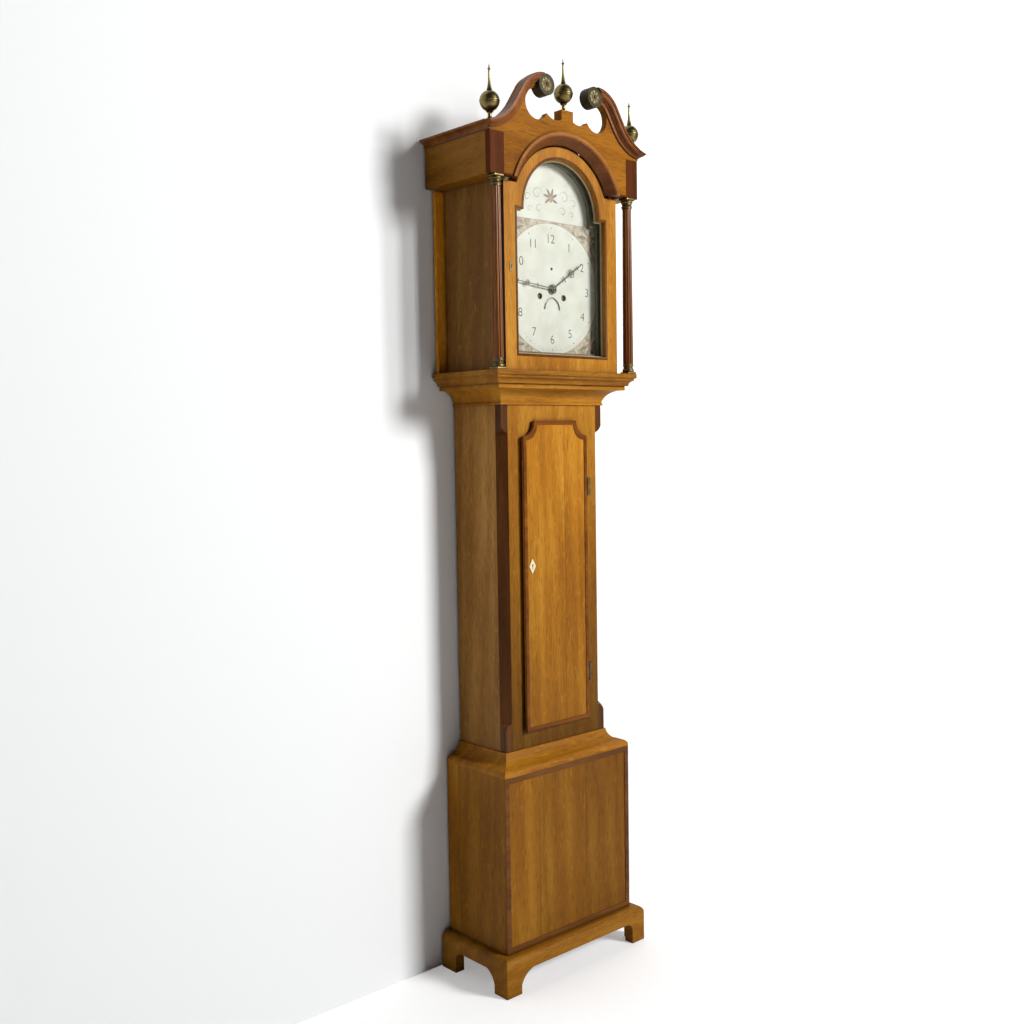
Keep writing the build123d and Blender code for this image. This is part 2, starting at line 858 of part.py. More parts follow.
def centre_wheel():
    pinion = wheel(centre_at, centre_pinion, great_module,
                   great_plane - 1, mesh_aim(centre_pinion, direction_to(going_at, centre_at)), 6)
    main = wheel(centre_at, centre_teeth, centre_module, centre_plane, direction_to(centre_at, third_at))
    return arbor_with(centre_at, [pinion, main], front=dial_depth + 8)


def third_wheel():
    pinion = wheel(third_at, third_pinion, centre_module,
                   centre_plane - 2, mesh_aim(third_pinion, direction_to(centre_at, third_at)), 5)
    main = wheel(third_at, third_teeth, third_module, third_plane, direction_to(third_at, escape_at))
    return arbor_with(third_at, [pinion, main])


def escape_wheel():
    pinion = wheel(escape_at, escape_pinion, third_module,
                   third_plane - 2, mesh_aim(escape_pinion, direction_to(third_at, escape_at)), 6)
    points = []
    pitch = 2 * math.pi / escape_teeth
    for tooth in range(escape_teeth):
        turn = pitch * tooth
        points += [polar((0, 0), escape_radius - 4, math.degrees(turn - 0.35 * pitch)),
                   polar((0, 0), escape_radius, math.degrees(turn)),
                   polar((0, 0), escape_radius - 4, math.degrees(turn + 0.12 * pitch))]
    outline = make_face(Polyline(points, close=True)) - crossings(escape_radius - 6, 4, 2.5)
    main = plate(Pos(*escape_at) * outline, escape_plane, escape_plane + 1.5)
    return arbor_with(escape_at, [pinion, main])


def pallets():
    """Anchor over the escape wheel, its arbor and the crutch behind the back plate."""
    reach = escape_radius + 2.2
    ring = Circle(reach + 3.5) - Circle(reach)
    span = [polar((0, 0), 60, 90 + angle) for angle in (-44, 44)]
    sector = make_face(Polyline([(0, 0), span[0], (0, 90), span[1]], close=True))
    anchor = Pos(*escape_at) * (ring & sector)
    stem = rectangle(-3, 3, escape_at[1] + reach + 2, pallet_at[1] + 3)
    body = plate(anchor + stem, escape_plane - 0.5, escape_plane + 2)
    crutch_back = pendulum_depth + 9
    body += slab(-1.5, 1.5, crutch_back, crutch_back + 2, pallet_at[1] - 110, pallet_at[1] + 3)
    fork_z = pallet_at[1] - 110
    for side in (-1, 1):
        x = side * 4.1
        body += slab(min(x, x + side * 2), max(x, x + side * 2), pendulum_depth - 4, crutch_back + 2, fork_z, fork_z + 6)
    body += slab(-6.1, 6.1, crutch_back, crutch_back + 2, fork_z, fork_z + 6)
    return arbor_with(pallet_at, [body], back=crutch_back)


def pin_wheel():
    pinion = wheel(pin_at, pin_pinion, great_module,
                   great_plane - 1, mesh_aim(pin_pinion, direction_to(strike_at, pin_at)), 6)
    main = wheel(pin_at, pin_teeth, pin_module, centre_plane, 0)
    pins = [
        rod(*polar(pin_at, pin_circle, 45 * turn + 10), 0.9, centre_plane + 1, centre_plane + 4.4)
        for turn in range(8)
    ]
    return arbor_with(pin_at, [pinion, main] + pins)


def hammer():
    """Hammer arbor with its tail by the pins and its head beside the bell."""
    x = hammer_x
    z = hammer_z
    shape = rod(x, z, arbor_radius, back_arbor, front_arbor)
    shape += slab(x - 2, x + 2, 105, 108, z - 2, z + 46)
    shape += slab(x - 7, bell_x - bell_radius - 2, 101, 112, z + 40, z + 51)
    shape += slab(x - 2, x + 2, centre_plane + 1, centre_plane + 4, z - 14, z + 2)
    return shape


def cock():
    """Bridge on the back plate with a slot for the suspension spring."""
    z = pallet_at[1]
    shape = slab(-22, 22, pendulum_depth - 10, back_plate_depth, z + 4, z + 12)
    shape += slab(-22, 22, back_plate_depth - 4, back_plate_depth, z - 9, z + 4)
    shape -= rod(0, z, arbor_radius + 2, 0, back_plate_depth + 1)
    return shape - slab(-1.2, 1.2, pendulum_depth - 11, pendulum_depth + 6, z, z + 13)


def bell_stand():
    """Post on the back plate that passes beside the bell, with an arm over its crown."""
    post_x = bell_x - bell_radius - 10
    arm_z = dial_z + plate_rise + 65
    stand = slab(post_x, post_x + 7, back_plate_depth - 3, back_plate_depth, dial_z + 50, arm_z)
    stand += slab(post_x, post_x + 7, back_plate_depth - 3, bell_depth + 4, arm_z, arm_z + 3)
    stand += slab(post_x, bell_x + 4, bell_depth - 4, bell_depth + 4, arm_z, arm_z + 3)
    return stand + upright(bell_x, bell_depth, 3, arm_z - 5, arm_z)


def bell():
    lip_z = dial_z + plate_rise + 60 - bell_radius
    bowls = []
    for radius in (bell_radius, bell_radius - bell_wall):
        crown = radius - bell_skirt
        turns = [math.radians(15 * step) for step in range(7)]
        dome = [(radius * math.cos(turn), bell_skirt + crown * math.sin(turn)) for turn in turns]
        dome[-1] = (0, radius)
        bowls.append(turned(bell_x, bell_depth, lip_z, [(radius, 0)] + dome))
    return bowls[0] - bowls[1]


def dial_plate():
    outline = rectangle(-dial_half, dial_half, dial_z - dial_half, dial_z + dial_half)
    outline += rectangle(-dial_arch, dial_arch, dial_z, arch_z) + disc(0, arch_z, dial_arch)
    outline -= disc(0, dial_z, 8)
    outline -= disc(going_at[0], going_at[1], 6)
    outline -= disc(strike_at[0], strike_at[1], 6)
    outline -= disc(escape_at[0], escape_at[1], 2.5)
    middle = dial_z - calendar_drop
    slot = disc(0, middle, calendar_radius) - disc(0, middle, calendar_radius - 6)
    outline -= slot & rectangle(-40, 40, middle - 2, middle + 40)
    shape = plate(outline, dial_depth - dial_thickness, dial_depth)
    for x in (-70, 70):
        for z in (seat_top + 14, dial_z + plate_rise - 12):
            shape += rod(x, z, 3, front_plate_depth, dial_depth - dial_thickness)
    return shape


save("movement_plates", movement_plate(back_plate_depth), movement_plate(front_plate_depth - plate_thickness))
save("movement_pillars", *pillars())
save("pendulum_cock", cock())
save("bell_stand", bell_stand())
save("bell", bell())
save("dial_plate", dial_plate())
save("going_great_wheel", great_wheel(going_at, great_teeth, direction_to(going_at, centre_at)))
save("going_barrel", barrel(going_at))
save("centre_wheel", centre_wheel())
save("third_wheel", third_wheel())
save("escape_wheel", escape_wheel())
save("pallets", pallets())
save("strike_great_wheel", great_wheel(strike_at, strike_teeth, direction_to(strike_at, pin_at)))
save("strike_barrel", barrel(strike_at))
save("pin_wheel", pin_wheel())
save("hammer", hammer())


# ---------------------------------------------------------------- hands and date

def hand_outline(length, width, hub, loop):
    """Hand pointing up from the origin: a pierced hub, a thin blade, two crosses and a rosette of loops."""
    shape = Circle(hub)
    for turn in range(45, 360, 90):
        shape -= Pos(*polar((0, 0), 0.66 * hub, turn)) * Circle(0.2 * hub)
    shape += face_from((-width / 2, 0), (width / 2, 0), (width / 4, length), (-width / 4, length))
    shape += Pos(0, 0.4 * length) * Rectangle(1.5 * loop, 1.8)
    shape += Pos(0, 0.86 * length) * Rectangle(loop, 1.4)
    for turn in range(0, 360, 90):
        ring = Circle(loop / 2) - Circle(loop / 2 - 1.3)
        shape += Pos(*polar((0, 0.64 * length), loop / 2, turn)) * ring
    return shape


def hand(length, width, hub, loop, clock_angle, depth):
    outline = Pos(*centre_at) * (Rot(0, 0, -clock_angle) * hand_outline(length, width, hub, loop))
    return plate(outline, depth, depth + hand_thickness)


def pipe(outer, bore, depth0, depth1):
    return rod(*centre_at, outer, depth0, depth1) - rod(*centre_at, bore, depth0 - 1, depth1 + 1)


def minute_hand():
    bore = arbor_radius + pivot_gap
    front = dial_depth + 8
    cannon = wheel(centre_at, cannon_teeth, cannon_module, cannon_plane, minute_aim, 2)
    shape = hand(minute_hand_length, 3.2, 8, 7, minute_clock_angle, front)
    shape += cannon + pipe(3.2, bore, cannon_plane, front + hand_thickness)
    return shape - rod(*centre_at, bore, cannon_plane - 1, front + hand_thickness + 1)


def minute_wheel():
    aim = mesh_aim(cannon_teeth, minute_aim)
    shape = wheel(minute_at, cannon_teeth, cannon_module, cannon_plane, aim, 2)
    shape += wheel(minute_at, minute_pinion, hour_module, cannon_plane + 2, minute_aim + 180, 5)
    return shape + rod(*minute_at, 1.2, front_plate_depth + fit_gap, cannon_plane + 7)


def hour_bore():
    return rod(*centre_at, 3.2 + pivot_gap, hour_plane - 1, dial_depth + 10)


def hour_wheel():
    aim = minute_aim + 180 / hour_teeth
    shape = wheel(centre_at, hour_teeth, hour_module, hour_plane, aim, 2)
    return shape + rod(*centre_at, 5.5, hour_plane, dial_depth + 4) - hour_bore()


def hour_hand():
    front = dial_depth + 4
    return hand(hour_hand_length, 3.6, 12, 11, hour_clock_angle, front) - hour_bore()


def date_disc():
    return rod(0, dial_z - calendar_drop, calendar_radius + 5, dial_depth - 5, dial_depth - 4)


save("minute_hand", minute_hand())
save("minute_wheel", minute_wheel())
save("hour_wheel", hour_wheel())
save("hour_hand", hour_hand())
save("date_disc", date_disc())


# ---------------------------------------------------------------- pendulum and weights

def pendulum_rod():
    pivot = pallet_at[1]
    bob_z = pivot - pendulum_length
    depth = pendulum_depth
    shape = slab(-4, 4, depth - 5, depth + 5, pivot + 12.4, pivot + 18)
    shape += slab(-0.3, 0.3, depth - 4, depth + 4, pivot - 20, pivot + 14)
    shape += slab(-4, 4, depth - 4, depth + 4, pivot - 125, pivot - 20)
    shape += upright(0, depth, 3, bob_z - bob_radius - 34, pivot - 125)
    return shape


def pendulum_bob():
    bob_z = pallet_at[1] - pendulum_length
    half = bob_thickness / 2
    section = face_from((0, -half), ((0.72 * bob_radius, -0.62 * half), (bob_radius, -1.5)),
                        (bob_radius, 1.5), ((0.72 * bob_radius, 0.62 * half), (0, half)))
    lens = revolve(Plane.XY * section, axis=Axis.Y, revolution_arc=360)
    lens = Pos(0, back_y - pendulum_depth, bob_z) * lens
    return lens - upright(0, pendulum_depth, 3 + pivot_gap, bob_z - 80, bob_z + 80)


def rating_nut():
    bob_z = pallet_at[1] - pendulum_length - bob_radius - 0.2
    return upright(0, pendulum_depth, 10, bob_z - 10, bob_z) - upright(
        0, pendulum_depth, 3 + pivot_gap, bob_z - 11, bob_z + 1)


def weight(x):
    top = weight_bottom + weight_length
    pulley_z = top + 48
    shape = upright(x, line_depth, weight_radius, weight_bottom, top)
    shape += upright(x, line_depth, 3, top, top + 20)
    shape += slab(x - 2, x + 2, line_depth - 6, line_depth + 6, top + 16, pulley_z + 5)
    shape += rod(x, pulley_z, pulley_radius - line_radius, line_depth - 4, line_depth + 4)
    return shape


def line(x):
    pulley_z = weight_bottom + weight_length + 48
    falls = [upright(x + side * pulley_radius, line_depth, line_radius, pulley_z, seat_top)
             for side in (-1, 1)]
    return falls


save("pendulum_rod", pendulum_rod())
save("pendulum_bob", pendulum_bob())
save("rating_nut", rating_nut())
save("going_weight", weight(winding_x))
save("strike_weight", weight(-winding_x))
save("going_line", *line(winding_x))
save("strike_line", *line(-winding_x))
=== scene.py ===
import math
import bmesh
import bpy
import numpy as np
from mathutils import Matrix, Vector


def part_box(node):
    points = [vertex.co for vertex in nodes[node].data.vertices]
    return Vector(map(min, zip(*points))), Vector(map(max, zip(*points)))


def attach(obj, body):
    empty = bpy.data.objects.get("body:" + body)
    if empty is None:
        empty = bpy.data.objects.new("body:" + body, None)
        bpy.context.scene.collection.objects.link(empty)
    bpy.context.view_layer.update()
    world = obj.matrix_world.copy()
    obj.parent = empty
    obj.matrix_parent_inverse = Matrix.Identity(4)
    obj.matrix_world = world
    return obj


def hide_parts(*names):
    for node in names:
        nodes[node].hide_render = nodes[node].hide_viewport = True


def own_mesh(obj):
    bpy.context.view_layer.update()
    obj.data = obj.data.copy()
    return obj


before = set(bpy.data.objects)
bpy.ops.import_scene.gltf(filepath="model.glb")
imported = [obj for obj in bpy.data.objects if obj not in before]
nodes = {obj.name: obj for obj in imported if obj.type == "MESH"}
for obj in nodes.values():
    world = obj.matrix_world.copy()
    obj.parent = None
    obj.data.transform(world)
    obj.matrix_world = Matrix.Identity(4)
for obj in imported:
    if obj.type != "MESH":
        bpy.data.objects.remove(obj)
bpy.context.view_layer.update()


# ---- Oak carcase
# Golden oak boards, planed, stained and waxed. Grain runs up the trunk, the base and the
# hood, and along each moulding. The boards are glued edge to edge, so tone shifts at joints.

def add(tree, kind, sockets=(), **options):
    """One shader node with its options set and its sockets filled by values or by other sockets."""
    made = tree.nodes.new(kind)
    for option, value in options.items():
        setattr(made, option, value)
    for socket, value in dict(sockets).items():
        if isinstance(value, bpy.types.NodeSocket):
            tree.links.new(value, made.inputs[socket])
        else:
            made.inputs[socket].default_value = value
    return made


def sums(tree, operation, first, second=0.0, third=0.0):
    """Output of one Math node."""
    return add(tree, "ShaderNodeMath", {0: first, 1: second, 2: third}, operation=operation).outputs[0]


def blended(tree, share, first, second, kind="MIX"):
    """Colour that goes from first to second as share goes from 0 to 1."""
    mix = add(tree, "ShaderNodeMix", {0: share, 6: first, 7: second}, data_type="RGBA", blend_type=kind)
    return mix.outputs[2]


def noise(tree, place, scale, detail=2.0, **more):
    """Value of a noise texture at a place."""
    return add(tree, "ShaderNodeTexNoise",
        {"Vector": place, "Scale": scale, "Detail": detail, **more}).outputs[0]


def bumped(tree, height, strength, distance, **more):
    """Normal that a height tilts by up to a distance in metres."""
    return add(tree, "ShaderNodeBump",
               {"Height": height, "Strength": strength, "Distance": distance, **more}).outputs[0]


def shaded(tree, sockets):
    """Principled surface as the material's output."""
    shader = add(tree, "ShaderNodeBsdfPrincipled", sockets)
    add(tree, "ShaderNodeOutputMaterial", {"Surface": shader.outputs[0]})


def ramped(tree, share, low, middle, high):
    """Colour that passes through three tones as share goes from 0 to 1."""
    ramp = add(tree, "ShaderNodeValToRGB", {"Fac": share})
    ramp.color_ramp.elements[0].color = low
    ramp.color_ramp.elements[1].color = high
    ramp.color_ramp.elements.new(0.5).color = middle
    return ramp.outputs[0]


def opaque(shades, deepen=1.0):
    """Three colours from deep to pale, darkened evenly and made opaque."""
    return [(*(deepen * part for part in shade), 1) for shade in shades]


def tint(red, green, blue):
    """Linear colour of an sRGB colour given from 0 to 255."""
    parts = np.array([red, green, blue]) / 255
    linear = np.where(parts <= 0.04045, parts / 12.92, ((parts + 0.055) / 1.055) ** 2.4)
    return (*linear.tolist(), 1.0)


def spread(tree, value, low, high, out_low, out_high):
    """Value carried from one range to another and kept inside it."""
    return add(tree, "ShaderNodeMapRange",
               {"Value": value, "From Min": low, "From Max": high, "To Min": out_low,
               "To Max": out_high}).outputs[0]


def wood_tone(tree, place, deep, middle, pale, along="Z", figure=11.0, seed=0.0, pores=0.5, fleck=0.3):
    """Colour and height of wood at each place.

    Three noises are stretched along the grain: a broad one for tone, a banded one for growth
    rings and a fine one for fibres. Their weighted sum picks a colour between deep and pale.
    Short dark dashes are pores, and pale cross streaks are rays.
    """
    def stretched(keep):
        return [keep if axis == along else 1.0 for axis in "XYZ"]

    def mapped(keep, shift=0.0):
        return add(tree, "ShaderNodeMapping", {"Vector": place, "Scale": stretched(keep),
                                               "Location": (seed + shift, seed * 0.7,
                                               seed * 1.3)}).outputs[0]

    broad = noise(tree, mapped(0.22), 9.0, 3.0)
    rings = add(tree, "ShaderNodeTexWave", {
        "Vector": mapped(0.07), "Scale": figure, "Distortion": 8.0, "Detail": 3.0, "Detail Scale": 1.3,
        "Detail Roughness": 0.6}, bands_direction="DIAGONAL").outputs["Fac"]
    fibre = noise(tree, mapped(0.025), 340.0, 2.0)
    dashes = noise(tree, mapped(0.05, 3.1), 620.0, 1.0)
    rays = noise(tree, mapped(0.3, 7.7), 120.0, Distortion=0.8)
    tone = sums(tree, "MULTIPLY", broad, 0.95)
    tone = sums(tree, "MULTIPLY_ADD", rings, 0.14, tone)
    tone = sums(tree, "MULTIPLY_ADD", fibre, 0.30, tone)
    tone = spread(tree, tone, 0.40, 0.98, 0.0, 1.0)
    colour = ramped(tree, tone, deep, middle, pale)
    pore = spread(tree, dashes, 0.56, 0.66, 0.0, pores)
    colour = blended(tree, pore, colour, tuple(0.42 * part for part in deep[:3]) + (1.0,))
    ray = spread(tree, rays, 0.60, 0.68, 0.0, fleck)
    colour = blended(tree, ray, colour, tuple(min(1.0, 1.25 * part) for part in pale[:3]) + (1.0,))
    height = sums(tree, "MULTIPLY_ADD", pore, -1.2, fibre)
    return colour, height


def finished(tree, colour, height, rough_low, rough_high, coat=0.02, depth=0.00025, gloss=0.08):
    """Waxed surface: painted shade darkens the creases, and the edges are rounded in shading."""
    # Painted shade: the colour goes towards near-black where ambient occlusion finds creases.
    crease = add(tree, "ShaderNodeAmbientOcclusion", {"Distance": 0.012}, samples=6).outputs["AO"]
    colour = blended(tree, spread(tree, crease, 0.25, 0.9, 0.62, 0.0), colour,
        (0.02, 0.009, 0.004, 1.0))
    rounded = add(tree, "ShaderNodeBevel", {"Radius": 0.0013}, samples=4).outputs[0]
    bump = bumped(tree, height, 0.35, depth, Normal=rounded)
    shine = spread(tree, height, 0.2, 0.8, rough_low, rough_high)
    shaded(tree, {
        "Base Color": colour, "Roughness": shine, "Normal": bump,
        "Coat Weight": coat, "Coat Roughness": 0.25, "Specular IOR Level": gloss})


def fresh(name):
    """Empty node material and its tree."""
    material = bpy.data.materials.new(name)
    material.use_nodes = True
    material.node_tree.nodes.clear()
    return material, material.node_tree


def object_place(tree):
    """Place on the piece in metres, and its three numbers."""
    place = add(tree, "ShaderNodeTexCoord").outputs["Object"]
    parts = add(tree, "ShaderNodeSeparateXYZ", {0: place})
    return place, parts.outputs[0], parts.outputs[1], parts.outputs[2]


def dimmed(tree, colour, share):
    """Colour with each of its parts multiplied by a share."""
    grey = add(tree, "ShaderNodeCombineColor", {0: share, 1: share, 2: share})
    return blended(tree, 1.0, colour, grey.outputs[0], "MULTIPLY")


golden = ((0.235, 0.078, 0.005), (0.37, 0.142, 0.008), (0.50, 0.225, 0.022))
weathered = ((0.225, 0.092, 0.018), (0.33, 0.150, 0.032), (0.45, 0.225, 0.055))


def oak(name, along="Z", seed=0.0, deepen=1.0, joints=(), across="X", low=0.0, shades=golden,
        dark_edge=None):
    """Oak with board joints across one axis; each joint is (place, tone of the board past it).

    low darkens it evenly towards the floor as painted shade, and dark_edge is the x below which it is painted in
    shade.
    """
    material, tree = fresh(name)
    place, x, y, z = object_place(tree)
    side = {"X": x, "Y": y, "Z": z}[across]
    shift, tone, line = 0.0, 1.0, 0.0
    for where, change in joints:
        past = sums(tree, "GREATER_THAN", side, where)
        shift = sums(tree, "MULTIPLY_ADD", past, 3.7, shift)
        tone = sums(tree, "MULTIPLY_ADD", past, change, tone)
        near = sums(tree, "ABSOLUTE", sums(tree, "SUBTRACT", side, where))
        line = sums(tree, "MAXIMUM", line, spread(tree, near, 0.0003, 0.0009, 0.7, 0.0))
    if joints:
        move = add(tree, "ShaderNodeCombineXYZ", {0: shift, 1: shift})
        place = add(tree, "ShaderNodeVectorMath", {0: place, 1: move.outputs[0]}).outputs[0]
    deep, middle, pale = opaque(shades, deepen)
    colour, height = wood_tone(tree, place, deep, middle, pale, along, seed=seed)
    # Painted shade: left of dark_edge the colour is near-black.
    if dark_edge is not None:
        colour = blended(tree, sums(tree, "LESS_THAN", x, dark_edge), colour, (0.020, 0.008, 0.003, 1))
    if joints:
        colour = blended(tree, line, colour, (0.05, 0.02, 0.01, 1))
        colour = dimmed(tree, colour, tone)
    # Painted shade: the colour darkens towards the floor.
    if low:
        colour = dimmed(tree, colour, spread(tree, z, 0.0, 1.5, 1.0 - low, 1.0))
    finished(tree, colour, height, 0.42, 0.58)
    return material


def dress(material, *names):
    """Gives a material to every slot of the named pieces of the frame."""
    for name in names:
        mesh = nodes[name].data
        mesh.materials.clear()
        mesh.materials.append(material)


dress(oak("oak_trunk", seed=0.4, deepen=0.93, low=1.15), "trunk_front_frame")
dress(oak("oak_sides", seed=2.1, deepen=1.15, low=0.5, shades=weathered), "trunk_sides")
dress(oak("oak_base_front", seed=5.2, deepen=0.80, low=0.30, joints=((-0.105, -0.16), (0.058, -0.10))),
    "base_front_panel")
dress(oak("oak_base_sides", seed=8.5, deepen=0.86, low=0.38, across="Y", joints=((0.085, 0.35),)),
    "base_sides")
dress(oak("oak_mouldings", "X", seed=3.3, deepen=0.92, low=0.1), "base_top_moulding", "throat_moulding")
dress(oak("oak_hood_moulding", "X", seed=3.9, deepen=0.72), "hood_base_moulding")
dress(oak("oak_plinth", "X", seed=6.1, deepen=0.63), "bracket_plinth")
dress(oak("oak_hood_sides", seed=9.4, deepen=0.70, shades=weathered), "hood_side_boards")
dress(oak("oak_frieze_sides", "Y", seed=1.9, deepen=0.62), "frieze_side_boxes")
# Painted light: deepen 2.1 brightens the backboard past its own colour, its palest red past full white, so it
# looks lit where it stands in shade.
dress(oak("oak_backboard", seed=4.4, deepen=2.1), "backboard")


# ---- Trunk door
# One wide board of figured oak with a slim lipped edge all round, notched at its top corners.
# It laps over the front and hangs on the right.

dress(oak("oak_trunk_door", seed=7.3, deepen=1.12, low=0.72, joints=((0.03, 0.04),)),
    "trunk_door_panel")


# ---- Mahogany trim
# Crossbanding, canted corners, bosses and the crest moulding in red-brown mahogany,
# cut across the grain for the banding and waxed dark.

red_brown = ((0.058, 0.018, 0.004), (0.105, 0.036, 0.007), (0.165, 0.062, 0.013))
orange_brown = ((0.095, 0.025, 0.003), (0.165, 0.048, 0.005), (0.26, 0.085, 0.010))


def mahogany(name, along="Z", seed=0.0, deepen=1.0, figure=16.0, shades=red_brown, coat=0.06):
    material, tree = fresh(name)
    place = object_place(tree)[0]
    deep, middle, pale = opaque(shades, deepen)
    colour, height = wood_tone(tree, place, deep, middle, pale, along, figure, seed, pores=0.35,
        fleck=0.08)
    finished(tree, colour, height, 0.34, 0.48, coat=coat, depth=0.00015)
    return material


dress(mahogany("mahogany_corners", seed=1.2, deepen=0.8), "canted_corners")
dress(mahogany("mahogany_banding", "X", seed=2.7, deepen=0.95, shades=orange_brown),
    "trunk_door_banding")
dress(mahogany("mahogany_base_banding", "X", seed=3.7, deepen=1.0, shades=red_brown),
    "base_crossbanding")
dress(mahogany("mahogany_boss", "Y", seed=4.9,
    shades=((0.022, 0.016, 0.007), (0.045, 0.034, 0.015), (0.08, 0.062, 0.03))), "pediment_bosses")


# ---- Pediment board
# The front of the hood's top, cut round the arch and the crest. Oak, with mahogany strips let
# in at both ends and a thin mahogany line along its lower edge.

def pediment_wood():
    material, tree = fresh("oak_pediment")
    place, x, _, z = object_place(tree)
    golden_oak = opaque(((0.155, 0.050, 0.003), (0.225, 0.078, 0.005), (0.32, 0.122, 0.010)))
    dark_strip = opaque(((0.050, 0.011, 0.002), (0.085, 0.020, 0.003), (0.135, 0.037, 0.006)))
    oak_colour, height = wood_tone(tree, place, *golden_oak, "X", seed=6.6)
    red_colour = wood_tone(tree, place, *dark_strip, "Z", 15.0, 1.0, 0.3, 0.05)[0]
    strip_x, frieze_top, line_top = 0.208, 2.046, 1.9545
    below_top = sums(tree, "LESS_THAN", z, frieze_top)
    from_strip = sums(tree, "SUBTRACT", sums(tree, "ABSOLUTE", x), strip_x)
    end = sums(tree, "MULTIPLY", sums(tree, "GREATER_THAN", from_strip, 0.0), below_top)
    edge = sums(tree, "LESS_THAN", z, line_top)
    colour = blended(tree, sums(tree, "MAXIMUM", end, edge), oak_colour, red_colour)
    seam = spread(tree, sums(tree, "ABSOLUTE", from_strip), 0.0003, 0.0010, 0.8, 0.0)
    seam = sums(tree, "MULTIPLY", seam, below_top)
    colour = blended(tree, seam, colour, (0.03, 0.012, 0.006, 1))
    finished(tree, colour, height, 0.42, 0.58, coat=0.0, gloss=0.03)
    return material


dress(pediment_wood(), "pediment_board")


# ---- Crest moulding
# The swan-neck mouldings and the straight returns down the hood's sides, run in mahogany
# from a moulded strip: a square nose, an ovolo, a fillet and a hollow.

def joined(points, across, along, offset):
    """Quads of an (n, m) grid; across and along say whether its rows and columns join up."""
    rows, columns = points.shape[:2]
    i = np.arange(rows if across else rows - 1)[:, None]
    j = np.arange(columns if along else columns - 1)[None, :]
    near, far = (i * columns) + 0 * j, ((i + 1) % rows) * columns + 0 * j
    right = (j + 1) % columns
    return np.stack([near + j, far + j, far + right, near + right], axis=-1).reshape(-1, 4) + offset


def surface(name, grids, angle=35.0):
    """Mesh of point grids, each (points, rows join, columns join, ends closed, turned inside out)."""
    places, quads, caps = [], [], []
    offset = 0
    for points, across, along, closed, flip in grids:
        rows, columns = points.shape[:2]
        faces = joined(points, across, along, offset)
        quads.append(faces[:, ::-1] if flip else faces)
        if closed:
            first = offset + np.arange(columns)
            last = offset + (rows - 1) * columns + np.arange(columns)
            caps += [first.tolist(), last[::-1].tolist()] if not flip else [first[::-1].tolist(),
                last.tolist()]
        places.append(points.reshape(-1, 3))
        offset += rows * columns
    mesh = bpy.data.meshes.new(name)
    mesh.from_pydata(np.concatenate(places).tolist(), [], np.concatenate(quads).tolist() + caps)
    worked = bmesh.new()
    worked.from_mesh(mesh)
    bmesh.ops.remove_doubles(worked, verts=worked.verts, dist=1e-6)
    bmesh.ops.dissolve_degenerate(worked, edges=worked.edges, dist=1e-7)
    bmesh.ops.recalc_face_normals(worked, faces=worked.faces)
    worked.to_mesh(mesh)
    worked.free()
    mesh.polygons.foreach_set("use_smooth", np.ones(len(mesh.polygons), bool))
    mesh.set_sharp_from_angle(angle=math.radians(angle))
    piece = bpy.data.objects.new(name, mesh)
    bpy.context.scene.collection.objects.link(piece)
    return piece


def placed(piece, material, body, slot, *stands_for):
    """Puts a finished piece on its body with its material; the slot argument is not used."""
    piece.data.materials.append(material)
    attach(piece, body)
    if stands_for:
        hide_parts(*stands_for)


wall = 0.1305
boss_x, boss_z = 0.0815, 2.174


def neck_strip(profile, steps=40):
    """Right swan-neck: three runs, a crest arc, a straight fall and a hollow arc to the foot.

    For a share w of the way in from the outer edge, the crest arc has radius R - w B about its
    centre; the fall leaves it square; the hollow arc passes from there to the foot.
    """
    inset, depth = profile[:, 0], profile[:, 1]
    centre, radius, width = np.array([0.090, 2.117]), 0.082, 0.028
    boss, boss_radius = np.array([boss_x, boss_z]), 0.0253
    rake, fall_length = math.radians(33), 0.048
    reach = radius - width * inset
    gap = np.linalg.norm(boss - centre)
    lean = math.atan2(boss[1] - centre[1], boss[0] - centre[0])
    swing = np.arccos(np.clip((reach ** 2 + gap ** 2 - boss_radius ** 2) / (2 * reach * gap), -1, 1))
    start = np.minimum(math.pi / 2, lean - swing)
    share = np.linspace(0, 1, steps)[:, None]
    turn = start + (rake - start) * share
    arc = centre + reach[None, :, None] * np.stack([np.cos(turn), np.sin(turn)], -1)
    fall = centre + reach[:, None] * np.array([math.cos(rake), math.sin(rake)])
    hollow = fall + fall_length * np.array([math.cos(rake - math.pi / 2), math.sin(rake - math.pi / 2)])
    foot = np.stack([0.267 - 0.017 * inset, 2.064 - 0.013 * inset], -1)
    chord = foot - hollow
    length = np.linalg.norm(chord, axis=1)
    half_turn = np.arctan2(chord[:, 1], chord[:, 0]) - (rake - math.pi / 2)
    bend = length / (2 * np.sin(half_turn))
    middle = hollow + bend[:, None] * np.array([math.cos(rake), math.sin(rake)])
    sweep = rake + math.pi + 2 * half_turn * np.linspace(0, 1, steps)[1:, None]
    low = middle + bend[None, :, None] * np.stack([np.cos(sweep), np.sin(sweep)], -1)
    line = np.concatenate([arc, hollow[None], low])
    y = np.broadcast_to(wall - depth, line.shape[:2])
    return np.stack([line[..., 0], y, line[..., 1]], -1)


def eased(points, count=6):
    """Profile with its listed corners kept and quarter rounds drawn between pairs marked as a curve."""
    runs = []
    for start, middle, end in points:
        t = np.linspace(0, 1, count if middle is not None else 2)[:, None]
        a, b = np.array(start), np.array(end)
        c = np.array(middle) if middle is not None else (a + b) / 2
        runs.append((1 - t) ** 2 * a + 2 * t * (1 - t) * c + t ** 2 * b)
    return np.concatenate(runs)


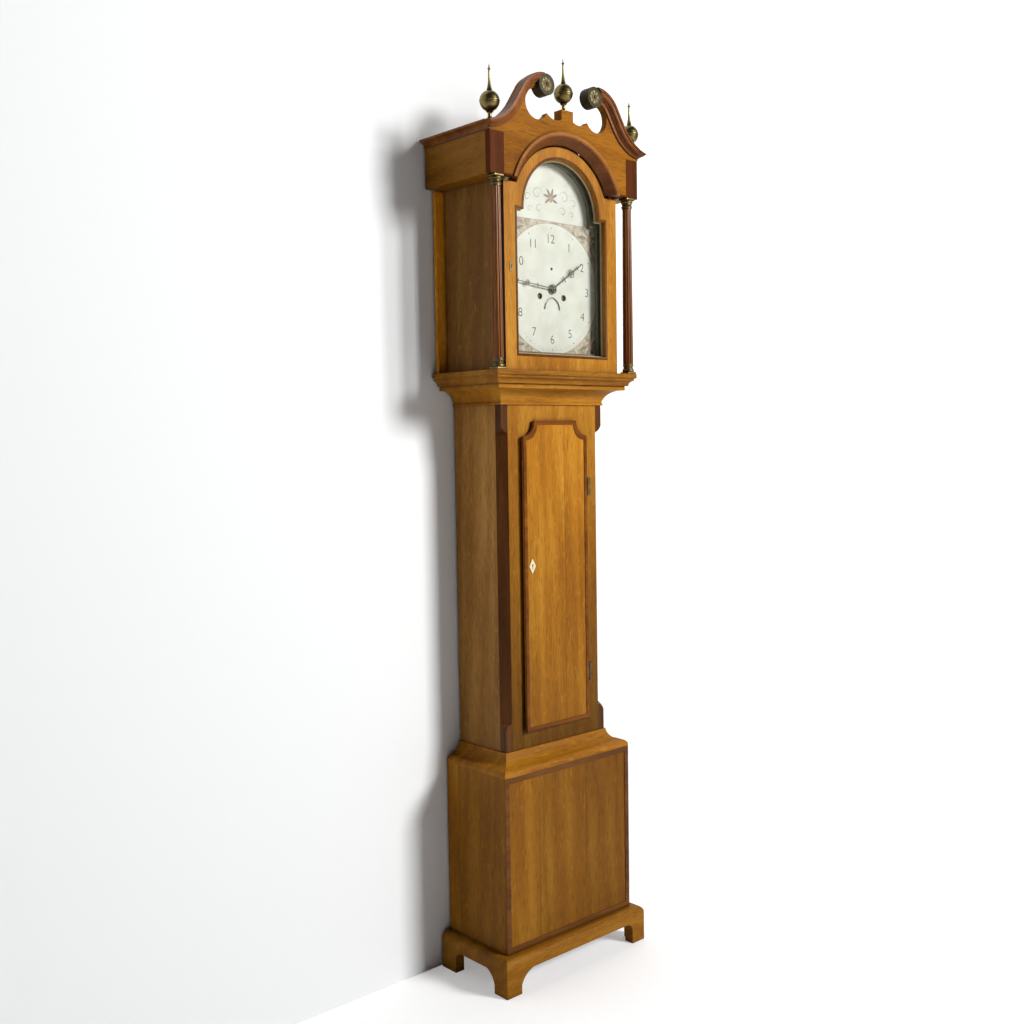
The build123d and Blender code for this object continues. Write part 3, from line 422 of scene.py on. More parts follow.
neck_profile = eased([
    ((0.0, 0.2425), None, (0.0, 0.2595)), ((0.0, 0.2595), (0.0, 0.2609), (0.05, 0.2609)),
    ((0.05, 0.2609), None, (0.24, 0.2609)), ((0.26, 0.2590), (0.56, 0.2600), (0.60, 0.2535)),
    ((0.62, 0.2520), None, (0.68, 0.2520)), ((0.70, 0.2505), (0.74, 0.2462), (0.95, 0.2462)),
    ((0.97, 0.2452), None, (1.0, 0.2452)), ((1.0, 0.2452), None, (1.0, 0.2425))])
right_neck = neck_strip(neck_profile)
mirror = np.array([-1.0, 1.0, 1.0])
left_neck = right_neck * mirror
cornice_section = eased([
    ((0.250, 2.048), None, (0.2525, 2.048)), ((0.2525, 2.050), (0.2535, 2.0595), (0.262, 2.0600)),
    ((0.2645, 2.0610), None, (0.2668, 2.0610)), ((0.2668, 2.0610), None, (0.2668, 2.0658)),
    ((0.2662, 2.0664), None, (0.250, 2.0664))])
run = np.linspace(0.1304, wall - 0.2422, 2)[:, None]
right_return = np.stack(np.broadcast_arrays(cornice_section[:, 0], run, cornice_section[:, 1]), -1)
left_return = right_return * mirror
crest = surface("crest_moulding", [
    (right_neck, False, True, True, False), (left_neck, False, True, True, True),
    (right_return, False, True, True, False), (left_return, False, True, True, True)])
placed(crest, mahogany("mahogany_crest", "X", seed=3.8, shades=orange_brown, coat=0.2), "hood",
    "mahogany", "cornice_moulding")


# ---- Arch moulding
# A moulding that frames the arch above the hood door, one mahogany in two tones: the hollow
# inside darker as painted shade, and the bead round its outer edge paler as painted light.

def from_centre(tree, x, z, centre_z):
    """Distance in the upright plane from a point on the middle line."""
    flat = add(tree, "ShaderNodeCombineXYZ", {0: x, 2: z}).outputs[0]
    middle = {0: flat, 1: (0, 0, centre_z)}
    return add(tree, "ShaderNodeVectorMath", middle, operation="DISTANCE").outputs["Value"]


def arch_wood():
    material, tree = fresh("mahogany_arch")
    place, x, _, z = object_place(tree)
    hollow = opaque(((0.050, 0.014, 0.004), (0.100, 0.031, 0.007), (0.16, 0.055, 0.013)))
    rim = opaque(((0.15, 0.045, 0.007), (0.25, 0.082, 0.011), (0.36, 0.135, 0.022)))
    hollow_shade, height = wood_tone(tree, place, *hollow, "X", 16.0, 2.0, 0.3, 0.05)
    bright = wood_tone(tree, place, *rim, "X", 12.0, 5.0)[0]
    bead_radius = 0.1812
    reach = from_centre(tree, x, z, 1.886)
    # Painted shade inside bead_radius and painted light outside it.
    colour = blended(tree, sums(tree, "GREATER_THAN", reach, bead_radius), hollow_shade, bright)
    finished(tree, colour, height, 0.34, 0.48, coat=0.12)
    return material


dress(arch_wood(), "arch_moulding")


# ---- Hood columns
# Two slender turned columns of mahogany, reeded from cap to cap, free of the hood's corners.

def turned(x, depth, foot_z, profile, turns=64, shape=None, flip=False):
    """Surface of revolution about an upright line; profile is (radius, height) rows in metres.

    The radius may be multiplied by shape(angle, height share), an array the size of the grid.
    """
    angle = np.linspace(0, 2 * math.pi, turns, endpoint=False)[:, None]
    radius = np.broadcast_to(profile[:, 0], (turns, len(profile)))
    if shape is not None:
        radius = radius * shape(angle, np.linspace(0, 1, len(profile))[None, :])
    height = np.broadcast_to(foot_z + profile[:, 1], radius.shape)
    points = np.stack([x + radius * np.cos(angle), wall - depth + radius * np.sin(angle), height], -1)
    return points, True, False, False, flip


def reeds(angle, share):
    """Ten half-round reeds; they die away at both ends."""
    bump = np.sqrt(np.abs(np.sin(5 * angle))) - 0.85
    fade = np.clip(np.minimum(share, 1 - share) * 40, 0, 1)
    return 1 + 0.17 * bump * fade


column_x, column_depth, shaft_length = 0.224, 0.229, 0.3949
shaft_z = np.linspace(0, shaft_length, 60)
shaft_r = 0.0130 - 0.0021 * (shaft_z / shaft_length) ** 1.3
shaft = np.concatenate([[[0.0, 0.0]], np.stack([shaft_r, shaft_z], -1), [[0.0, shaft_length]]])
columns = surface("reeded_columns",
    [turned(side * column_x, column_depth, 1.529, shaft, 160, reeds) for side in (-1, 1)], 60)
placed(columns, mahogany("mahogany_columns", seed=5.5, deepen=0.9, figure=24.0, shades=orange_brown,
    coat=0.45), "hood", "mahogany", "hood_columns")


# ---- Column caps
# Cast brass caps and bases: a square plate with rings turned on it, now dull and green-brown.

def brass(name, dull=0.5, bright=(0.62, 0.47, 0.20), brown=(0.13, 0.095, 0.045), rough=0.32, seed=0.0):
    """Aged brass: bright metal shows through a brown-green film that is thickest in creases."""
    material, tree = fresh(name)
    place = object_place(tree)[0]
    moved = add(tree, "ShaderNodeMapping", {"Vector": place, "Location": (seed, seed, seed)}).outputs[0]
    film = noise(tree, moved, 55.0, 5.0, Roughness=0.65)
    speck = noise(tree, moved, 700.0)
    crease = add(tree, "ShaderNodeAmbientOcclusion", {"Distance": 0.006}, samples=6).outputs["AO"]
    share = sums(tree, "MULTIPLY_ADD", film, 0.9, sums(tree, "MULTIPLY_ADD", speck, 0.3, dull - 0.6))
    share = sums(tree, "ADD", share, spread(tree, crease, 0.2, 0.9, 0.55, 0.0))
    share = add(tree, "ShaderNodeClamp", {0: share}).outputs[0]
    colour = blended(tree, share, (*bright, 1), (*brown, 1))
    polish = spread(tree, share, 0.0, 1.0, rough * 0.6, rough * 1.7)
    bump = bumped(tree, sums(tree, "MULTIPLY_ADD", speck, 0.4, film), 0.25, 0.0004)
    shaded(tree, {"Base Color": colour, "Metallic": 1.0, "Roughness": polish, "Normal": bump})
    return material


def squared(angle, share):
    """Turns a circle into a square with soft corners: 1 over the sixteenth-power norm of the direction."""
    return (np.cos(angle) ** 16 + np.sin(angle) ** 16) ** (-1 / 16) + 0 * share


plate_profile = np.array([[0, 0], [0.0145, 0], [0.0150, 0.0006], [0.0150, 0.0044], [0.0145, 0.005],
    [0, 0.005]])
ring_profile = np.concatenate([
    [[0, 0.0049], [0.0142, 0.0049]],
    np.stack([0.0140 + 0.0014 * np.sin(np.linspace(0, math.pi, 9)),
    0.0052 + 0.0070 * np.linspace(0, 1, 9)], -1),
    [[0.0128, 0.0128], [0.0126, 0.0150]],
    np.stack([0.0128 - 0.0012 * np.sin(np.linspace(0, math.pi, 9)),
    0.0155 + 0.0035 * np.linspace(0, 1, 9)], -1),
    np.stack([0.0130 + 0.0012 * np.sin(np.linspace(0, math.pi, 9)),
    0.0195 + 0.0040 * np.linspace(0, 1, 9)], -1),
    [[0.0130, 0.0240], [0.0130, 0.0258], [0, 0.0258]]])
cap_grids = []
for side in (-1, 1):
    for foot, way in ((1.503, 1), (1.950, -1)):
        for profile, shape, turns in ((plate_profile, squared, 96), (ring_profile, None, 64)):
            rows = profile * np.array([1.0, way])
            cap_grids.append(turned(side * column_x, column_depth, foot, rows, turns, shape, way < 0))
caps = surface("brass_column_caps", cap_grids, 40)
placed(caps, brass("brass_caps", dull=0.75, seed=1.0, bright=(0.42, 0.31, 0.12),
    brown=(0.08, 0.06, 0.025)), "hood", "brass", "column_caps")


# ---- Finials
# Three spun brass balls with a raised band, on a spool stem, each with a slim spire and collars.
# The side ones stand on the hood's corners and the middle one on the block between the scrolls.

def finial_profile():
    """Radius and height: plate, hollow stem, ball as a half circle with a raised band, collar, spire."""
    stem = np.linspace(0, 1, 14)
    stem = np.stack([0.0045 + 0.0045 * (2 * stem - 1) ** 4, 0.003 + 0.0155 * stem], -1)
    turn = np.linspace(-math.radians(78), math.radians(80), 60)
    band = 0.0008 * np.exp(-((turn / 0.075) ** 4))
    ball = np.stack([(0.0232 + band) * np.cos(turn), 0.043 + 0.0237 * np.sin(turn)], -1)
    collar = np.linspace(0, math.pi, 8)
    collar = np.stack([0.0040 + 0.0026 * np.sin(collar), 0.0666 + 0.0036 * np.linspace(0, 1, 8)], -1)
    spire = np.linspace(0, 1, 14)
    spire = np.stack([0.0020 + 0.0036 * np.exp(-3.2 * spire), 0.0706 + 0.0424 * spire], -1)
    knop = np.linspace(0, math.pi, 8)
    knop = np.stack([0.0020 + 0.0018 * np.sin(knop), 0.1132 + 0.0036 * np.linspace(0, 1, 8)], -1)
    return np.concatenate([[[0, 0], [0.009, 0], [0.009, 0.0026]], stem, ball, collar, spire, knop,
        [[0.0017, 0.1175], [0, 0.1289]]])


finials = surface("brass_finials", [
    turned(x, depth, foot, finial_profile(), 72)
    for x, depth, foot in ((-0.237, 0.228, 2.071), (0.237, 0.228, 2.071), (0.0, 0.229, 2.130))], 50)
placed(finials, brass("brass_finials", dull=0.62, rough=0.27, seed=3.0, bright=(0.40, 0.31, 0.11),
    brown=(0.085, 0.065, 0.025)), "hood", "brass", "finials")


# ---- Boss rosettes
# Stamped brass rosettes pinned on the faces of the scroll bosses: two rows of petals
# about a round button.

def rosette(x, z, depth):
    """Height over a disc: petals are a cosine of eight times the angle."""
    angle = np.linspace(0, 2 * math.pi, 96, endpoint=False)[:, None]
    share = np.concatenate([[0], np.linspace(0.05, 1, 28)])[None, :]
    outer = np.sin(math.pi * np.clip((share - 0.42) / 0.58, 0, 1)) * (0.55 + 0.45 * np.cos(8 * angle))
    inner = np.sin(math.pi * np.clip((share - 0.2) / 0.3, 0,
        1)) * (0.7 + 0.3 * np.cos(8 * angle + math.pi))
    button = np.sqrt(np.clip(1 - (share / 0.2) ** 2, 0, 1))
    height = 0.0004 + 0.0011 * outer + 0.0013 * inner + 0.0028 * button
    radius = 0.0165 * share * (1 + 0.06 * np.cos(8 * angle) * share ** 4)
    front = np.stack([x + radius * np.cos(angle), wall - depth - height, z + radius * np.sin(angle)],
        -1)
    edge = front[:, -1:].copy()
    edge[..., 1] = wall - depth
    centre = np.broadcast_to([x, wall - depth, z], edge.shape)
    return np.concatenate([front, edge, centre], axis=1), True, False, False, False


rosettes = surface("brass_rosettes", [rosette(side * boss_x, boss_z, 0.257) for side in (-1, 1)], 60)
placed(rosettes, brass("brass_rosettes", dull=0.85, seed=7.0, bright=(0.30, 0.24, 0.11),
    brown=(0.06, 0.05, 0.025)), "hood", "brass", "boss_rosettes")


# ---- Roof, seat and mask boards
# Rough pine boards that close the hood and carry the movement, darkened by age.

def pine(name, along, seed, deepen=1.0,
        shades=((0.13, 0.065, 0.028), (0.24, 0.13, 0.06), (0.34, 0.20, 0.10))):
    material, tree = fresh(name)
    place = object_place(tree)[0]
    deep, middle, pale = opaque(shades, deepen)
    colour, height = wood_tone(tree, place, deep, middle, pale, along, 7.0, seed, pores=0.15,
        fleck=0.05)
    finished(tree, colour, height, 0.6, 0.8, coat=0.0, depth=0.0004)
    return material


dress(pine("pine_roof", "X", 1.4, 0.7), "hood_roof_board")
dress(pine("pine_seat", "X", 2.6), "seatboard")
dress(pine("pine_mask", "Z", 3.9, 0.8, ((0.22, 0.18, 0.09), (0.32, 0.27, 0.145), (0.42, 0.36, 0.21))),
    "dial_mask")


# ---- Hood door
# A glazed oak frame with an arched top. A red-brown bead runs round the opening, and a pale
# line of putty holds the glass behind it.

# The frame's left edge face, left of x -0.1915, is painted near-black as shade.
dress(oak("oak_hood_door", seed=6.9, deepen=0.95, dark_edge=-0.1915), "hood_door_frame")


def round_opening(profile, steps=64):
    """Strip round the glass opening; profile is (inset, depth) rows.

    The line goes along the sill, up the stile, in along the shoulder, over the arch and back
    down. An inset moves each straight run in and shortens the arch's radius by the same amount.
    """
    inset = profile[:, 0]
    half, sill, shoulder = 0.150 - inset, 1.544 + inset, 1.884 - inset
    radius = 0.128 - inset
    middle = 1.888
    spring = np.arcsin((shoulder - middle) / radius)
    turn = spring + (math.pi - 2 * spring) * np.linspace(0, 1, steps)[:, None]
    arch = np.stack([radius * np.cos(turn), middle + radius * np.sin(turn)], -1)
    corners = [np.stack([-half, sill], -1), np.stack([half, sill], -1), np.stack([half, shoulder], -1)]
    line = np.concatenate([np.stack(corners), arch, np.stack([-half, shoulder], -1)[None]])
    y = np.broadcast_to(wall - profile[:, 1], line.shape[:2])
    return np.stack([line[..., 0], y, line[..., 1]], -1), True, True, False, False


sweep = np.linspace(0, math.pi, 9)
bead = surface("door_glazing_bead",
    [round_opening(np.stack([-0.0035 + 0.0030 * np.cos(sweep), 0.2199 + 0.0016 * np.sin(sweep)], -1))],
    40)
placed(bead, mahogany("mahogany_bead", "Z", seed=8.1, deepen=1.1), "hood_door", "oak")


def putty_mix():
    material, tree = fresh("glazing_putty")
    place = object_place(tree)[0]
    grain = noise(tree, place, 300.0, 4.0)
    colour = blended(tree, grain, tint(150, 135, 105), tint(205, 195, 165))
    bump = bumped(tree, grain, 0.3, 0.0003)
    shaded(tree, {"Base Color": colour, "Roughness": 0.7, "Normal": bump})
    return material


putty = surface("glazing_putty",
    [round_opening(np.array([[0.0, 0.2053], [0.0028, 0.2053], [0.0004, 0.2085], [0.0, 0.2085]]))], 30)
placed(putty, putty_mix(), "hood_door", "oak")


def clear_glass():
    """Thin old glass: almost clear, with a faint green body and slight waves."""
    material, tree = fresh("window_glass")
    place = object_place(tree)[0]
    wave = noise(tree, place, 14.0, 1.0)
    bump = bumped(tree, wave, 0.12, 0.002)
    shaded(tree, {
        "Base Color": (0.03, 0.05, 0.04, 1), "Roughness": 0.03, "Alpha": 0.08, "IOR": 1.5,
        "Normal": bump})
    return material


dress(clear_glass(), "hood_door_glass")


# ---- Painted dial
# An iron plate painted off-white, with a warm border of colour in the four corners and an
# ornamented arch. Age has yellowed it and crazed the paint.

dial_z = 1.709
dial_face = 0.18008
chapter_radius, arch_line = 0.1612, 1.8745


def dial_paint():
    material, tree = fresh("dial_paint")
    place, x, _, z = object_place(tree)
    reach = from_centre(tree, x, z, dial_z)
    stain = noise(tree, place, 22.0, 5.0)
    white = blended(tree, spread(tree, stain, 0.35, 0.75, 0.0, 1.0), tint(229, 231, 217),
        tint(212, 212, 192))
    cloud = noise(tree, place, 60.0, 4.0, Distortion=1.2)
    ground = ramped(tree, spread(tree, cloud, 0.3, 0.7, 0.0, 1.0),
                    tint(150, 134, 108), tint(190, 178, 154), tint(214, 204, 182))
    corner = sums(tree, "MULTIPLY", sums(tree, "GREATER_THAN", reach, chapter_radius),
        sums(tree, "LESS_THAN", z, arch_line - 0.0005))
    colour = blended(tree, corner, white, ground)
    ring = spread(tree, sums(tree, "ABSOLUTE", sums(tree, "SUBTRACT", reach, chapter_radius)), 0.0003,
        0.0007, 0.8, 0.0)
    ring = sums(tree, "MULTIPLY", ring, sums(tree, "LESS_THAN", z, arch_line))
    rule = spread(tree, sums(tree, "ABSOLUTE", sums(tree, "SUBTRACT", z, arch_line)), 0.0003, 0.0008,
        0.7, 0.0)
    colour = blended(tree, sums(tree, "MAXIMUM", ring, rule), colour, tint(120, 96, 50))
    craze = add(tree, "ShaderNodeTexVoronoi", {"Vector": place, "Scale": 150.0},
        feature="DISTANCE_TO_EDGE").outputs[0]
    craze = spread(tree, craze, 0.0, 0.03, 0.14, 0.0)
    colour = blended(tree, craze, colour, tint(120, 110, 90))
    bump = bumped(tree, sums(tree, "MULTIPLY", craze, -1.0), 0.2, 0.0002)
    shaded(tree, {"Base Color": colour, "Roughness": 0.42, "Normal": bump, "Coat Weight": 0.1})
    return material


dress(dial_paint(), "dial_plate")


# ---- Numerals and minute dots
# Upright hour figures and a ring of dots brushed on in black enamel.

def enamel(name, shade, wear=0.25):
    """Brushed enamel that has thinned in patches."""
    material, tree = fresh(name)
    place = object_place(tree)[0]
    patch = noise(tree, place, 220.0, 4.0)
    faded = tuple(part + wear * (0.7 - part) for part in shade)
    colour = blended(tree, spread(tree, patch, 0.45, 0.75, 0.0, 1.0), (*shade, 1), (*faded, 1))
    shaded(tree, {"Base Color": colour, "Roughness": 0.4})
    return material


def written(text, size, x, z, depth, turn=0.0):
    """Points and faces of one flat figure, centred on a place and turned about the viewing line."""
    curve = bpy.data.curves.new("figure", "FONT")
    curve.body = text
    curve.size = size
    curve.align_x, curve.align_y = "CENTER", "CENTER"
    curve.extrude = 0.00005
    curve.offset = -0.011 * size
    holder = bpy.data.objects.new("figure", curve)
    bpy.context.scene.collection.objects.link(holder)
    bpy.context.view_layer.update()
    mesh = bpy.data.meshes.new_from_object(holder.evaluated_get(bpy.context.evaluated_depsgraph_get()))
    points = np.empty(len(mesh.vertices) * 3)
    mesh.vertices.foreach_get("co", points)
    points = points.reshape(-1, 3)
    middle = (points.min(0) + points.max(0)) / 2
    faces = [list(face.vertices) for face in mesh.polygons]
    bpy.data.objects.remove(holder)
    flat = points[:, :2] - middle[:2]
    cos, sin = math.cos(turn), math.sin(turn)
    across = flat[:, 0] * cos + flat[:, 1] * sin
    up = -flat[:, 0] * sin + flat[:, 1] * cos
    return np.stack([x + across, wall - depth - points[:, 2], z + up], -1), faces


def lettered(name, figures):
    """One mesh of several written figures."""
    places, faces = [], []
    offset = 0
    for points, polygons in figures:
        places.append(points)
        faces += [[corner + offset for corner in polygon] for polygon in polygons]
        offset += len(points)
    mesh = bpy.data.meshes.new(name)
    mesh.from_pydata(np.concatenate(places).tolist(), [], faces)
    piece = bpy.data.objects.new(name, mesh)
    bpy.context.scene.collection.objects.link(piece)
    return piece




def round_dial(radius, share, centre_z=dial_z):
    """Place (x, z) on a circle, a share of a turn clockwise from the top."""
    angle = 2 * math.pi * share
    return radius * math.sin(angle), centre_z + radius * math.cos(angle)


hours = [written(str(hour), 0.031, *round_dial(0.1235, hour / 12), dial_face) for hour in range(1, 13)]
black = enamel("black_enamel", (0.035, 0.032, 0.028))
numerals = lettered("hour_numerals", hours)
placed(numerals, black, "case", "dial_paint")


def dots(x, z, radius, depth, sides=10):
    """Flat round spot: a fan of faces between a centre point and a circle."""
    angle = np.linspace(0, 2 * math.pi, sides, endpoint=False)[:, None]
    circle = np.stack([x + radius * np.cos(angle), np.full(angle.shape, wall - depth),
        z + radius * np.sin(angle)], -1)
    centre = np.broadcast_to([x, wall - depth, z], circle.shape)
    return np.concatenate([centre, circle], axis=1), True, False, False, False


minutes = [dots(*round_dial(0.1495, minute / 60), 0.0016 if minute % 5 == 0 else 0.0008,
    dial_face + 0.00004)
           for minute in range(60)]
minute_dots = surface("minute_dots", minutes)
placed(minute_dots, black, "case", "dial_paint")


# ---- Dial ornament
# Painted sprays: a flower with leaves in each corner, and a scrolled spray in the arch.

def petals(x, z, radius, count, depth, turn=0.0, notch=0.35):
    """Flat flower: radius R times (1 - n + n |cos(k a / 2)|) about its centre."""
    angle = np.linspace(0, 2 * math.pi, 72, endpoint=False)[:, None]
    share = np.array([[0.0, 0.5, 1.0]])
    edge = radius * (1 - notch + notch * np.abs(np.cos(count * (angle - turn) / 2)))
    reach = edge * share
    return np.stack([x + reach * np.cos(angle), np.full(reach.shape, wall - depth),
        z + reach * np.sin(angle)], -1), True, False, False, False


def leaf(x, z, length, width, turn, depth):
    """Flat pointed leaf: half width W sin(pi t) carried along a slightly bent line of length L."""
    t = np.linspace(0, 1, 16)[:, None]
    across = np.array([[-1.0, 0.0, 1.0]]) * width * np.sin(math.pi * t) * 0.5
    along = length * t + 0 * across
    bend = across + 0.12 * length * t ** 2
    cos, sin = math.cos(turn), math.sin(turn)
    return np.stack([x + along * cos - bend * sin, np.full(along.shape, wall - depth),
        z + along * sin + bend * cos], -1), False, False, False, False


def stroke(line, width, depth):
    """Flat brush stroke: a line of (x, z) points with a width that thins to nothing at both ends."""
    ahead = np.gradient(line, axis=0)
    ahead /= np.linalg.norm(ahead, axis=1)[:, None]
    side = np.stack([-ahead[:, 1], ahead[:, 0]], -1)
    swell = width * np.sin(math.pi * np.linspace(0.04, 0.96, len(line)))[:, None]
    left, right = line + side * swell / 2, line - side * swell / 2
    both = np.stack([left, right], 1)
    return np.stack([both[..., 0], np.full(both.shape[:2], wall - depth), both[..., 1]],
        -1), False, False, False, False


def spiral(x, z, size, turns, start, way):
    """Points (x, z) of a spiral whose radius shrinks evenly with its angle."""
    t = np.linspace(0, 1, 60)
    angle = start + way * 2 * math.pi * turns * t
    return np.stack([x + size * (1 - 0.85 * t) * np.cos(angle),
        z + size * (1 - 0.85 * t) * np.sin(angle)], -1)


flower_out = 0.135
arch_flower_z = 1.932
corners = [(side * flower_out, dial_z + up * flower_out, math.atan2(up, side)) for side in (-1,
    1) for up in (-1, 1)]
blooms, hearts, leaves = [], [], []
for x, z, outward in corners:
    blooms.append(petals(x, z, 0.0125, 5, dial_face + 0.00012, outward))
    hearts.append(petals(x, z, 0.0045, 6, dial_face + 0.00018))
    for aside, length in ((80, 0.030), (-80, 0.030), (125, 0.036), (-125, 0.036), (30, 0.016),
            (-30, 0.016)):
        turn = outward + math.radians(aside)
        leaves.append(leaf(x + 0.008 * math.cos(turn), z + 0.008 * math.sin(turn), length, 0.009, turn,
            dial_face + 0.00006))
    for aside in (95, -95):
        turn = outward + math.radians(aside)
        blooms.append(petals(x + 0.034 * math.cos(turn), z + 0.034 * math.sin(turn), 0.0065, 5,
            dial_face + 0.00012, turn))
blooms.append(petals(0.0, arch_flower_z, 0.0115, 6, dial_face + 0.00012, math.pi / 2))
hearts.append(petals(0.0, arch_flower_z, 0.004, 6, dial_face + 0.00018))
for turn in (20, 160, 65, 115, -30, 210):
    leaves.append(leaf(0.0, arch_flower_z, 0.026, 0.007, math.radians(turn), dial_face + 0.00006))
placed(surface("dial_flowers", blooms), enamel("rose_enamel", (0.40, 0.24, 0.17), wear=0.4), "case",
    "dial_paint")
placed(surface("dial_flower_hearts", hearts), enamel("gold_enamel", (0.50, 0.33, 0.10)), "case",
    "dial_paint")
placed(surface("dial_leaves", leaves), enamel("green_enamel", (0.22, 0.19, 0.12), wear=0.35), "case",
    "dial_paint")
scrolls = []
for side in (-1, 1):
    for x, z, size, turns, start in ((0.046, 1.938, 0.017, 1.2, math.pi),
            (0.078, 1.926, 0.012, 1.1, math.pi),
                                     (0.040, 1.902, 0.013, 1.1, math.pi),
                                     (0.072, 1.898, 0.009, 1.0, math.pi)):
        scrolls.append(stroke(spiral(side * x, z, size, turns, start if side > 0 else 0.0, -side),
            0.0016, dial_face + 0.0001))
placed(surface("dial_arch_scrolls", scrolls), enamel("grey_enamel", (0.27, 0.27, 0.25), wear=0.4),
    "case", "dial_paint")


# ---- Winding collets and calendar
# Brass eyelets line the two winding holes and the centre hole. The date disc behind the
# curved slot is painted white, with its days in black round its edge.

def eyelet(x, z, radius, thick, depth):
    """Half-round ring about a hole: a circle of radius R carried round a small half circle."""
    angle = np.linspace(0, 2 * math.pi, 48, endpoint=False)[:, None]
    turn = np.linspace(0, math.pi, 8)[None, :]
    reach = radius - thick * np.cos(turn)
    y = wall - depth - thick * np.sin(turn) + 0 * angle
    return np.stack([x + reach * np.cos(angle), y, z + reach * np.sin(angle)],
        -1), True, True, False, False


winding_x, winding_z = 0.041, 1.690
dark_brass = brass("brass_eyelets", dull=0.75, bright=(0.26, 0.22, 0.13), brown=(0.08, 0.07, 0.045),
    seed=5.0)
eyelets = surface("winding_eyelets",
    [eyelet(side * winding_x, winding_z, 0.0068, 0.0010, 0.18) for side in (-1, 1)] + [eyelet(0, dial_z,
    0.0085, 0.0007, 0.18), eyelet(0, 1.759, 0.0030, 0.0006, 0.18)], 60)
placed(eyelets, dark_brass, "case", "brass")


dress(enamel("white_enamel", (0.74, 0.74, 0.66), wear=0.1), "date_disc")
date_z, date_face = 1.661, 0.17608
days = [written(str(day), 0.0050, *round_dial(0.0252, day / 31, date_z), date_face,
    2 * math.pi * day / 31)
        for day in range(1, 32)]
placed(lettered("date_numerals", days), black, "date_disc", "dial_paint")


# ---- Hands
# A matching pair of pierced hands sawn from thin brass, dull and dark, pinned over the centre arbor.

dress(brass("brass_hands", dull=0.7, rough=0.45, bright=(0.30, 0.28, 0.23), brown=(0.12, 0.11, 0.09),
    seed=9.0), "minute_hand", "hour_hand")
dome = np.linspace(0, math.pi / 2, 8)


def collet(depth):
    """Small domed washer facing the front, a quarter circle turned about the viewing line."""
    angle = np.linspace(0, 2 * math.pi, 40, endpoint=False)[:, None]
    reach = np.concatenate([[0.0055], 0.0055 * np.cos(dome)])[None, :]
    rise = np.concatenate([[0.0], 0.0002 + 0.0018 * np.sin(dome)])[None, :]
    return np.stack([reach * np.cos(angle), wall - depth - rise + 0 * angle,
        dial_z + reach * np.sin(angle)], -1), True, False, False, False


placed(surface("hand_collet", [collet(0.1895)]), dark_brass, "minute_hand", "brass")


# ---- Movement
# Eight-day movement of cast brass plates and wheels with steel arbors, and a bell above.

def steel(name, shade=(0.42, 0.42, 0.43), rough=0.3, seed=0.0, blot=0.35):
    """Polished steel with fine scratches and faint brown bloom."""
    material, tree = fresh(name)
    place = object_place(tree)[0]
    moved = add(tree, "ShaderNodeMapping", {"Vector": place, "Location": (seed, seed, seed)}).outputs[0]
    bloom = noise(tree, moved, 80.0, 5.0)
    brushed = add(tree, "ShaderNodeMapping", {"Vector": moved, "Scale": (1.0, 1.0, 0.05)}).outputs[0]
    scratch = noise(tree, brushed, 900.0)
    colour = blended(tree, spread(tree, bloom, 0.5, 0.8, 0.0, blot), (*shade, 1), (0.16, 0.11, 0.07, 1))
    polish = spread(tree, scratch, 0.3, 0.7, rough * 0.7, rough * 1.4)
    shaded(tree, {"Base Color": colour, "Metallic": 1.0, "Roughness": polish})
    return material


dress(brass("brass_movement", dull=0.25, rough=0.26, seed=2.0, bright=(0.72, 0.56, 0.26)),
      "movement_plates", "movement_pillars", "pendulum_cock", "going_great_wheel", "going_barrel",
      "centre_wheel",
      "third_wheel", "escape_wheel", "strike_great_wheel", "strike_barrel", "pin_wheel", "minute_wheel",
      "hour_wheel")
dress(steel("steel_parts", seed=1.0), "bell_stand", "pallets", "hammer")
dress(steel("pendulum_steel", (0.30, 0.30, 0.31), 0.4, 4.0, 0.6), "pendulum_rod")


def bell_profile():
    """Bowl wall out and back: a straight lip and a dome that is half an ellipse, then the same 2.4 mm inside."""
    turn = np.linspace(0, math.pi / 2, 24)
    outer = np.stack([0.046 * np.cos(turn), 0.008 + 0.038 * np.sin(turn)], -1)
    inner = np.stack([0.0436 * np.cos(turn[::-1]), 0.008 + 0.0356 * np.sin(turn[::-1])], -1)
    return np.concatenate([inner, [[0.0436, 0.0004], [0.0440, 0.0], [0.0456, 0.0], [0.046, 0.0004]],
        outer])


bell = surface("bell_bowl", [turned(-0.002, 0.106, 1.810, bell_profile(), 96)], 50)
placed(bell, brass("bell_metal", dull=0.2, rough=0.2, bright=(0.66, 0.56, 0.34), seed=6.0), "case",
    "bell_metal", "bell")


# ---- Pendulum bob
# A lens of lead faced with thin brass, sliding on the rod and held up by the rating nut.

def bob_grid():
    """Lens turned about the viewing line: half thickness T (1 - (r / R) squared), with a thin flat rim."""
    angle = np.linspace(0, 2 * math.pi, 96, endpoint=False)[:, None]
    share = np.linspace(0, 1, 20)
    front = np.stack([0.056 * share, 0.0012 + 0.0108 * (1 - share ** 2) ** 0.9], -1)
    rows = np.concatenate([front, front[::-1] * np.array([1.0, -1.0])])
    reach, rise = rows[None, :, 0], rows[None, :, 1]
    return np.stack([reach * np.cos(angle), wall - 0.060 - rise + 0 * angle,
        bob_z + reach * np.sin(angle)], -1), True, False, False, False


low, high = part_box("pendulum_bob")
bob_z = (low.z + high.z) / 2
bob = surface("pendulum_lens", [bob_grid()], 50)
placed(bob, brass("brass_bob", dull=0.35, rough=0.22, seed=8.0), "pendulum", "brass", "pendulum_bob")
dress(brass("brass_nut", dull=0.4, seed=8.5), "rating_nut")
